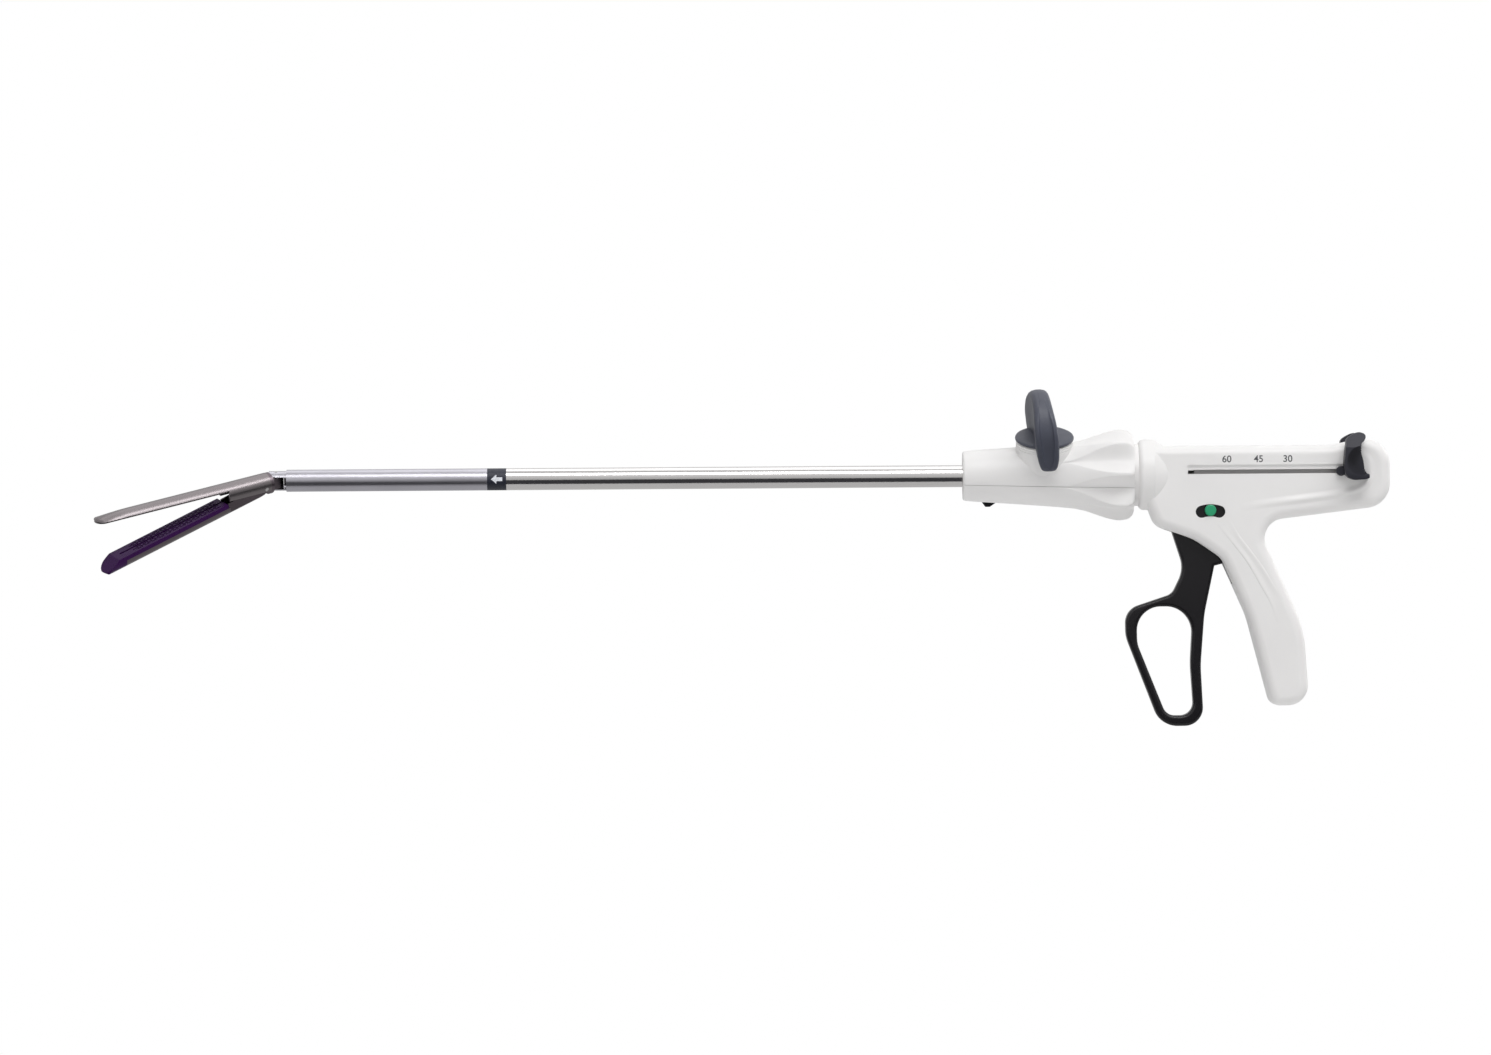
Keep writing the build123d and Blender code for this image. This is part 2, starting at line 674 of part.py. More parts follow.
def handle_outline():
    return round_outline([
        (NOSE_LEN / 2, BARREL_HALF_H, 0),
        (105.6, BARREL_HALF_H, 30),
        (120.6, REAR_TOP, 15),
        (REAR_END, REAR_TOP, 14),
        (REAR_END, -17.4, 13.5),
        (63.1, -26.2, 11),
        (89.2, -84, 60),
        (92.1, GRIP_BOTTOM, 11),
        (71.4, GRIP_BOTTOM, 6),
        (58.6, -77, 60),
        (44.6, -45.5, 12),
        (29.6, -35.2, 30),
        (9.1, -27.9, 9),
        (NOSE_LEN / 2, -BARREL_HALF_H, 0),
    ])


def handle_solid():
    slab = extrude(Plane.XZ * handle_outline(), amount=HANDLE_HALF_W, both=True)
    rims = slab.faces().filter_by(Axis.Y).edges()
    slab = fillet(rims.filter_by(lambda e: e.center().X > NOSE_LEN / 2 + RUN_FIT), HANDLE_EDGE_R)
    nose = rod_x(NOSE_R, 0, NOSE_LEN)
    nose = fillet(nose.edges().group_by(Axis.X)[0], NOSE_EDGE_R)
    cone = Rot(Y=90) * Cone(NOSE_R, HANDLE_HALF_W - SIDE_GAP, NOSE_BLEND)
    blend = Pos(NOSE_LEN + NOSE_BLEND / 2, 0, 0) * cone
    return slab + nose + blend + rod_x(BEARING_R, bearing_front, NOSE_LEN / 2)


def trigger_cavity():
    rack_floor = -RACK_HALF_H - TRIGGER_Z
    outline = polygon(
        (-20, -12),
        (-21, 1),
        (-14, 17),
        (-14, rack_floor),
        (10, rack_floor),
        (12, 10),
        (19, -10),
        (20, -30),
        (12, -36),
        (0, -26),
    )
    return side_plate(outline, -trigger_cavity_half_w, trigger_cavity_half_w)


def arc_sector(r0, r1, half_angle, y0, y1):
    ring = rod_y(r1, 0, 0, y0, y1) - rod_y(r0, 0, 0, y0, y1)
    reach = r1 / cos(radians(half_angle))
    side = reach * sin(radians(half_angle))
    return ring & side_plate(polygon((0, 0), (-side, r1), (side, r1)), y0, y1)


def safety_opening():
    half = SAFETY_SLOT_W / 2
    half_angle = SAFETY_SLOT_ANGLE / 2
    opening = arc_sector(SAFETY_ARC_R - half, SAFETY_ARC_R + half, half_angle, -HANDLE_HALF_W, safety_roof_y)
    for side in (-1, 1):
        end = Rot(Y=side * half_angle) * rod_y(half, 0, SAFETY_ARC_R, -HANDLE_HALF_W, safety_roof_y)
        opening += end
    pocket_half = half + SAFETY_LAP + SLIDE_GAP
    pocket_angle = half_angle + SAFETY_TRAVEL + degrees((half + SIDE_GAP) / SAFETY_ARC_R)
    floor_y = safety_roof_y + SAFETY_SLIDE_T + 2 * SLIDE_GAP
    inner_r = SAFETY_ARC_R - pocket_half
    return opening + arc_sector(inner_r, SAFETY_ARC_R + pocket_half, pocket_angle, safety_roof_y, floor_y)


def scale_slots():
    half_h = RETURN_PIN_R + SLIDE_GAP / 2
    rear = RETURN_PIN_R + SIDE_GAP
    front = -FIRING_TRAVEL - RETURN_SLOT_SPARE
    slots = block(front, rear, -HANDLE_HALF_W, HANDLE_HALF_W, -half_h, half_h)
    step_y = HANDLE_HALF_W - SLOT_STEP_DEPTH
    step_top = half_h + SLOT_STEP_H
    step = block(front, rear + SLOT_STEP_SPARE, step_y, HANDLE_HALF_W, -half_h, step_top)
    return slots + step + mirror(step, Plane.XZ)


def handle_shells():
    cuts = rod_x(knob_seat_r + RUN_FIT, bearing_front, collar_front)
    cuts += rod_x(COLLAR_R + SLIDE_GAP, collar_front, tube_rear + SLIDE_GAP)
    half_w = RACK_HALF_W + SLIDE_GAP
    half_h = RACK_HALF_H + SLIDE_GAP
    cuts += block(tube_rear, RACK_REAR + SIDE_GAP, -half_w, half_w, -half_h, half_h)
    pin_reach = trigger_cavity_half_w + TRIGGER_PIN_SEAT
    cuts += trigger_seat * (trigger_cavity() + rod_y(TRIGGER_PIN_R, 0, 0, -pin_reach, pin_reach))
    cuts += safety_seat * safety_opening() + return_seat * scale_slots()
    body = handle_solid() - cuts
    return split(body, Plane.XZ, Keep.TOP), split(body, Plane.XZ, Keep.BOTTOM)


# Drive rack and return knobs

def drive_rack():
    bar = block(RACK_TEETH, RACK_REAR, -RACK_HALF_W, RACK_HALF_W, -RACK_HALF_H, RACK_HALF_H)
    bar += rod_x(ROD_R, rack_front, RACK_TEETH)
    count = int((RETURN_X - RACK_TEETH) / TOOTH_PITCH) - 2
    root_z = TOOTH_DEPTH - RACK_HALF_H
    for index in range(count):
        x = RACK_TEETH + (index + 0.5) * TOOTH_PITCH
        tip_x = x + TOOTH_FLANK
        notch = polygon((x, -RACK_HALF_H), (x, root_z), (x + TOOTH_FLAT, root_z), (tip_x, -RACK_HALF_H))
        bar -= side_plate(notch, -RACK_HALF_W, RACK_HALF_W)
    return bar - return_seat * rod_y(RETURN_PIN_R, 0, 0, -RACK_HALF_W, RACK_HALF_W)


def return_pin():
    reach = return_y + RETURN_PLATE_T
    return rod_y(RETURN_PIN_R, 0, 0, -reach, reach)


def return_knob():
    y0 = return_y
    y1 = return_y + RETURN_REACH
    plate_y = return_y + RETURN_PLATE_T
    lobe = Spline((3, 17), (10, 20.8), (13.2, 19), (10.8, 14.5), tangents=[(0.6, 0.8), (-0.6, -0.8)])
    back = Spline((10.8, 14.5), (11.5, 5), (14.8, -2.7))
    front = Spline((14.8, -2.7), (11.5, -4.6), (6, -3.8), (2.4, 1), (1.5, 7), (3, 17))
    knob = side_plate(make_face(lobe + back + front), y0, y1)
    cup = Plane.XZ * Pos(RETURN_CUP_X, RETURN_CUP_Z) * Ellipse(RETURN_CUP_RX, RETURN_CUP_RZ)
    knob -= Pos(0, y1, 0) * extrude(cup, amount=y1 - plate_y)
    knob += block(0, RETURN_ARM_LEN, y0, plate_y, -RETURN_ARM_HALF_H, RETURN_ARM_HALF_H)
    knob += rod_y(RETURN_BOSS_R, 0, 0, y0, plate_y + RETURN_BOSS_PROUD)
    for rib_z in (3, 7):
        knob += block(3, 10, y0, y0 + RETURN_RIB_REACH, rib_z - RETURN_RIB_T / 2, rib_z + RETURN_RIB_T / 2)
    return knob - rod_y(RETURN_PIN_R, 0, 0, y0, plate_y)


# Trigger and pawl, built about the trigger's pin

def trigger():
    outer = round_outline([
        (-16.4, -4, 0),
        (-9.8, -24.5, 16),
        (-16.4, -38, 7),
        (-42, -46.5, 10),
        (-41.8, -61, 20),
        (-23, -110, 13),
        (0.4, -109.8, 10),
        (-1.2, -77, 60),
        (1, -49, 60),
        (6.6, -22.8, 0),
        (11.4, -21.6, 0),
        (10.2, -15, 0),
        (7, 0, 0),
        (PAWL_X + 3.5, PAWL_Z - 2, 0),
        (PAWL_X + 3.5, PAWL_Z + 3, 0),
        (PAWL_X - 2.5, PAWL_Z + 3, 0),
        (-6, 4, 0),
    ])
    finger_hole = round_outline([
        (-36, -44.8, 13),
        (-5, -44.8, 14),
        (-6.8, -76, 60),
        (-5, -104.2, 7),
        (-20, -104.2, 7),
        (-35.6, -65, 16),
    ])
    body = side_plate(outer, -TRIGGER_HALF_W, TRIGGER_HALF_W)
    body -= side_plate(finger_hole, -TRIGGER_HALF_W, TRIGGER_HALF_W)
    body = fillet(body.faces().filter_by(Axis.Y).edges(), TRIGGER_EDGE_R)
    gap = PAWL_HALF_W + SLIDE_GAP
    slot_floor = PAWL_Z - PAWL_BOSS_R - SIDE_GAP
    slot_top = PAWL_Z + PAWL_SLOT_TOP
    body -= block(PAWL_X - PAWL_SLOT_FRONT, PAWL_X + PAWL_SLOT_REAR, -gap, gap, slot_floor, slot_top)
    body -= rod_y(PAWL_PIN_R, PAWL_X, PAWL_Z, -TRIGGER_HALF_W, TRIGGER_HALF_W)
    return body - rod_y(TRIGGER_PIN_R + RUN_FIT, 0, 0, -TRIGGER_HALF_W, TRIGGER_HALF_W)


def trigger_pin():
    reach = trigger_cavity_half_w + TRIGGER_PIN_SEAT
    return rod_y(TRIGGER_PIN_R, 0, 0, -reach, reach)


def drive_pawl():
    tip_x = PAWL_X - PAWL_TIP_LEAD
    tip_z = -RACK_HALF_H - PAWL_TOOTH_GAP - TRIGGER_Z
    outline = polygon(
        (PAWL_X - 1.5, PAWL_Z - 1.8),
        (PAWL_X + 2, PAWL_Z + 1.2),
        (tip_x + 3.4, tip_z - 1.6),
        (tip_x, tip_z),
        (tip_x, tip_z - 3),
    )
    pawl = side_plate(outline, -PAWL_HALF_W, PAWL_HALF_W)
    pawl += rod_y(PAWL_BOSS_R, PAWL_X, PAWL_Z, -PAWL_HALF_W, PAWL_HALF_W)
    return pawl - rod_y(PAWL_PIN_R + RUN_FIT, PAWL_X, PAWL_Z, -PAWL_HALF_W, PAWL_HALF_W)


def pawl_pin():
    return rod_y(PAWL_PIN_R, PAWL_X, PAWL_Z, -TRIGGER_HALF_W, TRIGGER_HALF_W)


# Safety slide, built about the centre of its arc

def safety_slide():
    half = SAFETY_SLOT_W / 2 + SAFETY_LAP
    y0 = safety_roof_y + SLIDE_GAP
    half_angle = (SAFETY_SLOT_ANGLE + SAFETY_TRAVEL) / 2 + degrees(SAFETY_SLOT_W / 2 / SAFETY_ARC_R)
    return arc_sector(SAFETY_ARC_R - half, SAFETY_ARC_R + half, half_angle, y0, y0 + SAFETY_SLIDE_T)


def safety_button():
    y0 = -HANDLE_HALF_W - SAFETY_PROUD
    button = rod_y(SAFETY_BUTTON_R, 0, SAFETY_ARC_R, y0, safety_roof_y + SLIDE_GAP)
    return fillet(button.edges().group_by(Axis.Y)[0], SAFETY_EDGE_R)


left_shell, right_shell = handle_shells()
knob_pair = return_knob()

nodes = {
    "handle_shell_left": handle_place * left_shell,
    "handle_shell_right": handle_place * right_shell,
    "trigger": handle_place * trigger_seat * trigger(),
    "trigger_pin": handle_place * trigger_seat * trigger_pin(),
    "drive_pawl": handle_place * trigger_seat * drive_pawl(),
    "pawl_pin": handle_place * trigger_seat * pawl_pin(),
    "drive_rack": handle_place * drive_rack(),
    "return_pin": handle_place * return_seat * return_pin(),
    "return_knob_left": handle_place * return_seat * mirror(knob_pair, Plane.XZ),
    "return_knob_right": handle_place * return_seat * knob_pair,
    "safety_slide": handle_place * safety_seat * safety_slide(),
    "safety_button": handle_place * safety_seat * safety_button(),
    "knob_upper": shaft_place * knob_upper(),
    "knob_lower": shaft_place * knob_lower(),
    "release_button": shaft_place * release_button(),
    "articulation_lever": lever_place * articulation_lever(),
    "lever_crank": lever_place * lever_crank(),
    "articulation_link": link_place * articulation_link(),
    "shaft_tube": shaft_place * shaft_tube(),
    "load_band": shaft_place * load_band(),
    "shaft_collar": shaft_place * shaft_collar(),
    "drive_rod": shaft_place * drive_rod(),
    "rod_guides": shaft_place * rod_guides(),
    "reload_tube": shaft_place * reload_tube(),
    "neck_fork": shaft_place * neck_fork(),
    "neck_pins": shaft_place * neck_pins(),
    "mounting_block": tool_place * mounting_block(),
    "anvil_plate": tool_place * anvil_plate(),
    "anvil_cover": tool_place * anvil_cover(),
    "anvil_collar": tool_place * anvil_collar(),
    "jaw_pins": tool_place * jaw_pins(),
    "knife_beam": tool_place * knife_beam(),
    "cartridge_carrier": jaw_place * cartridge_carrier(),
    "staple_cartridge": jaw_place * staple_cartridge(),
}

os.makedirs("parts", exist_ok=True)
for name, shape in nodes.items():
    export_step(shape, f"parts/{name}.step")
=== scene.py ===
import json
import math

import bmesh
import bpy
import numpy as np
from mathutils import Matrix, Vector


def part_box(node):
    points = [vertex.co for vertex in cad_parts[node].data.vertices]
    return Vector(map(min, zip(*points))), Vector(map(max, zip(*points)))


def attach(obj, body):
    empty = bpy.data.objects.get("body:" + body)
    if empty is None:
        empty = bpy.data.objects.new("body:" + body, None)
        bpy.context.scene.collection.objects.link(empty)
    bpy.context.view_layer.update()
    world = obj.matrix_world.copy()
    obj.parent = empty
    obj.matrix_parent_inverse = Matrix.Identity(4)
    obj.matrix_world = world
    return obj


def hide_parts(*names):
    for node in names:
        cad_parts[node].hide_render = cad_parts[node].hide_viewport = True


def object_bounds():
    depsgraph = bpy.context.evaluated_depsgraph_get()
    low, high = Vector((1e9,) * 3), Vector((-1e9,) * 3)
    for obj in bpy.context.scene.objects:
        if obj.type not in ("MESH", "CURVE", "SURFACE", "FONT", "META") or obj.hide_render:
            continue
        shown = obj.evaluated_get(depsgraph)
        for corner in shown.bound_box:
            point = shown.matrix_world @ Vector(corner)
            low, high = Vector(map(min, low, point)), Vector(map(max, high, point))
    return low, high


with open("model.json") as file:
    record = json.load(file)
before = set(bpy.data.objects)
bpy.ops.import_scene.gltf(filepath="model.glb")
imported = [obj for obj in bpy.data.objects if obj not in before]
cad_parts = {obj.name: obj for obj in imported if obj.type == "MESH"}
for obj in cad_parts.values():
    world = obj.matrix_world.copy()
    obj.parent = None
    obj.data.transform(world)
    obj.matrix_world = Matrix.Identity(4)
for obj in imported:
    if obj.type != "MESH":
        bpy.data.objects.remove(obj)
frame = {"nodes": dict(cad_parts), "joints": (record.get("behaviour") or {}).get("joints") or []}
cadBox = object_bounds()
nodes = frame["nodes"]
jointOf = {joint["name"]: joint for joint in frame["joints"]}
mm = 0.001
sharpAngle = 32  # edges that bend by more degrees stay sharp
axisGap = 0.01  # a turned section starts this far from its axis, in millimetres
cutPast = 2  # a cutter reaches this far past what it cuts, in millimetres
handSides = ((-1, "Left"), (1, "Right"))

# frames that the pieces are built in, worked out from the joints
shaftUp = Vector(jointOf["articulation"]["axis"])
rollAngle = math.atan2(-shaftUp.y, shaftUp.z)
shaftFrame = Matrix.Rotation(rollAngle, 4, "X")
toolBack = -Vector(jointOf["knife_slide"]["axis"])
toolSide = Vector(jointOf["jaw_clamp"]["axis"])
toolTurn = Matrix((toolBack, toolSide, shaftUp)).transposed().to_4x4()
toolFrame = Matrix.Translation(jointOf["articulation"]["pos_m"]) @ toolTurn
jawHinge = Vector(jointOf["jaw_clamp"]["pos_m"])
jawOpen = math.radians(jointOf["jaw_clamp"]["range_deg"][1])
jawSwing = Matrix.Rotation(-jawOpen, 4, toolSide)
jawFrame = Matrix.Translation(jawHinge) @ jawSwing @ Matrix.Translation(-jawHinge) @ toolFrame
leverSeat = shaftFrame @ Matrix.Translation((jointOf["lever_turn"]["pos_m"][0], 0, 0))
noseEnd = 0.15  # the handle's sides are flat behind here
sideSpots = [vert.co for vert in nodes["handle_shell_left"].data.vertices if vert.co.x > noseEnd]
handleSide = max(abs(spot.y) for spot in sideSpots)
print("frame loaded:", len(nodes), "nodes")


def addObject(name, data):
    thing = bpy.data.objects.new(name, data)
    bpy.context.scene.collection.objects.link(thing)
    return thing


def finalMesh(thing):
    # the mesh that a thing's modifiers leave
    graph = bpy.context.evaluated_depsgraph_get()
    return bpy.data.meshes.new_from_object(thing.evaluated_get(graph))


def newPiece(name, verts, faces, material, cornerAngle=sharpAngle):
    mesh = bpy.data.meshes.new(name)
    mesh.from_pydata([tuple(v) for v in verts], [], [tuple(f) for f in faces])
    mesh.validate()
    outward = bmesh.new()
    outward.from_mesh(mesh)
    bmesh.ops.recalc_face_normals(outward, faces=outward.faces)
    outward.to_mesh(mesh)
    outward.free()
    mesh.materials.append(material)
    mesh.polygons.foreach_set("use_smooth", [True] * len(mesh.polygons))
    mesh.set_sharp_from_angle(angle=math.radians(cornerAngle))
    return addObject(name, mesh)


def smoothCurve(knots, at):
    # cubic through the knots that never overshoots them
    xs = np.array([knot[0] for knot in knots], float)
    ys = np.array([knot[1] for knot in knots], float)
    slope = np.diff(ys) / np.diff(xs)
    before = np.concatenate([[slope[0]], slope])
    after = np.concatenate([slope, [slope[-1]]])
    total = np.where(before * after > 0, before + after, 1)
    tangent = np.where(before * after > 0, 2 * before * after / total, 0)
    i = np.clip(np.searchsorted(xs, at) - 1, 0, len(xs) - 2)
    span = xs[i + 1] - xs[i]
    t = (at - xs[i]) / span
    low = (1 + 2 * t) * (1 - t) ** 2 * ys[i] + t * (1 - t) ** 2 * span * tangent[i]
    high = t * t * (3 - 2 * t) * ys[i + 1] + t * t * (t - 1) * span * tangent[i + 1]
    return low + high


def smoothPath(points, count):
    # even steps along a smooth line through 2D points
    points = np.array(points, float)
    reach = np.concatenate([[0], np.cumsum(np.linalg.norm(np.diff(points, axis=0), axis=1))])
    at = np.linspace(0, reach[-1], count)
    return np.stack([smoothCurve(list(zip(reach, points[:, k])), at) for k in range(2)], axis=1)


def insetPath(line, inset):
    # moves a path to its right, which is inward where it runs clockwise
    along = np.gradient(line, axis=0)
    along /= np.linalg.norm(along, axis=1)[:, None]
    return line + np.stack([along[:, 1], -along[:, 0]], axis=1) * inset


def loftFaces(rows, count):
    faces = [tuple(reversed(range(count)))]
    for i in range(rows - 1):
        for j in range(count):
            a = i * count + j
            b = i * count + (j + 1) % count
            faces.append((a, b, b + count, a + count))
    last = (rows - 1) * count
    faces.append(tuple(range(last, last + count)))
    return faces


def loftPiece(name, loops, material, place=Matrix(), cornerAngle=sharpAngle):
    verts = [place @ (Vector(point) * mm) for loop in loops for point in loop]
    return newPiece(name, verts, loftFaces(len(loops), len(loops[0])), material, cornerAngle)


def boxCorners(halfWide, low, high):
    return [(-halfWide, low), (halfWide, low), (halfWide, high), (-halfWide, high)]


def barPiece(name, corners, xs, material, place=Matrix()):
    # the same corners, as Y and Z, at each X
    return loftPiece(name, [[(x, y, z) for y, z in corners] for x in xs], material, place)


def ringPiece(name, section, material, place, steps=96):
    # a closed section turned all the way round the local Z axis
    turns = np.linspace(0, 2 * math.pi, steps, endpoint=False)
    count = len(section)
    verts = [place @ (Vector((r * math.cos(a), r * math.sin(a), z)) * mm) for a in turns for r, z in section]
    faces = []
    for i in range(steps):
        for j in range(count):
            a = i * count + j
            b = i * count + (j + 1) % count
            c = ((i + 1) % steps) * count
            faces.append((a, b, c + (j + 1) % count, c + j))
    return newPiece(name, verts, faces, material)


def rodSection(radius, low, high):
    return [(axisGap, low), (radius, low), (radius, high), (axisGap, high)]


def cutAway(piece, cutters):
    for cutter in cutters:
        knife = piece.modifiers.new("cut", "BOOLEAN")
        knife.operation = "DIFFERENCE"
        knife.solver = "EXACT"
        knife.object = cutter
    cutMesh = finalMesh(piece)
    piece.modifiers.clear()
    piece.data = cutMesh
    cutMesh.set_sharp_from_angle(angle=math.radians(sharpAngle))
    for cutter in cutters:
        bpy.data.objects.remove(cutter)


def joinPieces(name, pieces):
    joined = bmesh.new()
    for piece in pieces:
        joined.from_mesh(piece.data)
    mesh = bpy.data.meshes.new(name)
    joined.to_mesh(mesh)
    joined.free()
    mesh.materials.append(pieces[0].data.materials[0])
    for piece in pieces:
        bpy.data.objects.remove(piece)
    return addObject(name, mesh)


# node trees


def groupTree(name, kind, inputs, outputs):
    tree = bpy.data.node_groups.new(name, kind)
    for label, content, value in inputs:
        socket = tree.interface.new_socket(label, in_out="INPUT", socket_type="NodeSocket" + content)
        if value is not None:
            socket.default_value = value
    for label, content in outputs:
        tree.interface.new_socket(label, in_out="OUTPUT", socket_type="NodeSocket" + content)
    return tree, tree.nodes.new("NodeGroupInput"), tree.nodes.new("NodeGroupOutput")


def feedNode(tree, node, feeds):
    # each input takes another node's output or a plain value
    for label, value in feeds.items():
        if isinstance(value, bpy.types.NodeSocket):
            tree.links.new(value, node.inputs[label])
        else:
            node.inputs[label].default_value = value


def addNode(tree, kind, feeds, operation=None):
    node = tree.nodes.new(kind)
    if operation:
        node.operation = operation
    feedNode(tree, node, feeds)
    return node


def emptyTree(owner):
    owner.use_nodes = True
    owner.node_tree.nodes.clear()
    return owner.node_tree


# shader groups

finishOutputs = [("Color", "Color"), ("Roughness", "Float"), ("Height", "Float")]


def shadeAndGloss(tree, entry, leave, shadeBy, shadeFrom, glossBy, glossRange):
    # one pattern darkens the colour and another one roughens the surface
    low = addNode(tree, "ShaderNodeMath", {0: 1, 1: entry.outputs["Shade Range"]}, "SUBTRACT")
    shade = addNode(tree, "ShaderNodeMapRange", {
        "Value": shadeBy, "From Min": shadeFrom[0], "From Max": shadeFrom[1],
        "To Min": low.outputs[0], "To Max": 1,
    })
    feeds = {0: entry.outputs["Color"], "Scale": shade.outputs["Result"]}
    tint = addNode(tree, "ShaderNodeVectorMath", feeds, "SCALE")
    feeds = {0: glossBy, 1: glossRange, 2: entry.outputs["Roughness"]}
    gloss = addNode(tree, "ShaderNodeMath", feeds, "MULTIPLY_ADD")
    feedNode(tree, leave, {"Color": tint.outputs[0], "Roughness": gloss.outputs[0]})


def mouldGrainGroup():
    # fine mould texture, slow shade changes and hand smudges
    inputs = [
        ("Color", "Color", (0.8, 0.8, 0.8, 1)), ("Grain Scale", "Float", 2200),
        ("Shade Range", "Float", 0.05), ("Roughness", "Float", 0.4), ("Smudge", "Float", 0.1),
    ]
    tree, entry, leave = groupTree("mouldGrain", "ShaderNodeTree", inputs, finishOutputs)
    spot = tree.nodes.new("ShaderNodeTexCoord").outputs["Object"]
    feeds = {"Vector": spot, "Scale": entry.outputs["Grain Scale"], "Detail": 3}
    grain = addNode(tree, "ShaderNodeTexNoise", feeds)
    slow = addNode(tree, "ShaderNodeTexNoise", {"Vector": spot, "Scale": 38, "Detail": 4})
    feeds = {"Vector": spot, "Scale": 90, "Detail": 5, "Distortion": 0.8}
    smear = addNode(tree, "ShaderNodeTexNoise", feeds)
    smudge = entry.outputs["Smudge"]
    shadeAndGloss(tree, entry, leave, slow.outputs["Fac"], (0.3, 0.7), smear.outputs["Fac"], smudge)
    feedNode(tree, leave, {"Height": grain.outputs["Fac"]})
    return tree


def brushedGroup():
    # fine drawn lines along the piece with slow shade changes
    inputs = [
        ("Color", "Color", (0.6, 0.6, 0.6, 1)), ("Along", "Vector", (8, 900, 900)),
        ("Turn", "Vector", (0, 0, 0)), ("Shade Range", "Float", 0.1), ("Roughness", "Float", 0.3),
        ("Line Range", "Float", 0.1),
    ]
    tree, entry, leave = groupTree("brushedLines", "ShaderNodeTree", inputs, finishOutputs)
    spot = tree.nodes.new("ShaderNodeTexCoord").outputs["Object"]
    facing = tree.nodes.new("ShaderNodeVectorRotate")
    facing.rotation_type = "EULER_XYZ"
    facing.invert = True
    feedNode(tree, facing, {"Vector": spot, "Rotation": entry.outputs["Turn"]})
    feeds = {0: facing.outputs[0], 1: entry.outputs["Along"]}
    stretch = addNode(tree, "ShaderNodeVectorMath", feeds, "MULTIPLY")
    lines = addNode(tree, "ShaderNodeTexNoise", {"Vector": stretch.outputs[0], "Scale": 1, "Detail": 4})
    slow = addNode(tree, "ShaderNodeTexNoise", {"Vector": spot, "Scale": 45, "Detail": 3})
    mixed = addNode(tree, "ShaderNodeMath", {0: lines.outputs["Fac"], 1: slow.outputs["Fac"]}, "MULTIPLY")
    lineRange = entry.outputs["Line Range"]
    shadeAndGloss(tree, entry, leave, mixed.outputs[0], (0.1, 0.45), lines.outputs["Fac"], lineRange)
    feedNode(tree, leave, {"Height": lines.outputs["Fac"]})
    return tree


mouldGrain = mouldGrainGroup()
brushedLines = brushedGroup()
mouldBump = {"Strength": 0.12, "Distance": 0.0002}
brushedDepth = 0.0001


def finishFrom(name, group, settings, bumpSettings, **sockets):
    material = bpy.data.materials.new(name)
    material.use_nodes = True
    tree = material.node_tree
    effect = tree.nodes.new("ShaderNodeGroup")
    effect.node_tree = group
    feedNode(tree, effect, settings)
    bump = addNode(tree, "ShaderNodeBump", {**bumpSettings, "Height": effect.outputs["Height"]})
    feeds = {
        "Base Color": effect.outputs["Color"],
        "Roughness": effect.outputs["Roughness"],
        "Normal": bump.outputs["Normal"],
    }
    for label, value in sockets.items():
        feeds[label.replace("_", " ")] = value
    feedNode(tree, tree.nodes["Principled BSDF"], feeds)
    return material


def moulded(name, color, roughness, smudge, shadeRange, grain=2200, **sockets):
    settings = {
        "Color": (*color, 1),
        "Grain Scale": grain,
        "Shade Range": shadeRange,
        "Roughness": roughness,
        "Smudge": smudge,
    }
    return finishFrom(name, mouldGrain, settings, mouldBump, **sockets)


def brushed(name, color, roughness, along, lineRange, shadeRange, bumpStrength, turn=Matrix()):
    settings = {
        "Color": (*color, 1),
        "Along": along,
        "Turn": turn.to_euler("XYZ")[:],
        "Shade Range": shadeRange,
        "Roughness": roughness,
        "Line Range": lineRange,
    }
    bumpSettings = {"Strength": bumpStrength, "Distance": brushedDepth}
    return finishFrom(name, brushedLines, settings, bumpSettings, Metallic=1)


# colour, roughness, smudge, shade range and grain scale
warmWhite = moulded("warmWhite", (0.84, 0.83, 0.825), 0.34, 0.12, 0.03)
slateGrey = moulded("slateGrey", (0.055, 0.060, 0.085), 0.40, 0.15, 0.15, 1800)
charcoal = moulded("charcoal", (0.026, 0.026, 0.036), 0.36, 0.15, 0.15, 1800, Specular_IOR_Level=0.35)
triggerBlack = moulded("triggerBlack", (0.006, 0.005, 0.007), 0.24, 0.18, 0.2, 1500, Specular_IOR_Level=0.4)
safetyGreen = moulded("safetyGreen", (0.015, 0.33, 0.15), 0.28, 0.1, 0.1)
cartridgePurple = moulded("cartridgePurple", (0.036, 0.005, 0.064), 0.34, 0.12, 0.15, Specular_IOR_Level=0.1)
bandNavy = moulded("bandNavy", (0.012, 0.014, 0.030), 0.42, 0.12, 0.15)
printInk = moulded("printInk", (0.10, 0.10, 0.11), 0.55, 0.05, 0.1)
arrowWhite = moulded("arrowWhite", (0.78, 0.80, 0.86), 0.45, 0.08, 0.05)
# colour, roughness, line scales, line range, shade range, bump strength and turn
polishedSteel = brushed("polishedSteel", (0.70, 0.685, 0.68), 0.12, (6, 700, 700), 0.06, 0.06, 0.02)
satinSteel = brushed("satinSteel", (0.50, 0.49, 0.535), 0.28, (10, 1400, 1400), 0.12, 0.12, 0.06)
anvilSteel = brushed("anvilSteel", (0.195, 0.176, 0.182), 0.31, (12, 700, 700), 0.03, 0.08, 0.004, toolTurn)
darkSteel = brushed("darkSteel", (0.15, 0.125, 0.14), 0.30, (20, 700, 700), 0.12, 0.2, 0.03, toolTurn)
plainSteel = brushed("plainSteel", (0.52, 0.51, 0.51), 0.28, (60, 900, 900), 0.14, 0.15, 0.06)
print("materials made:", len(bpy.data.materials))

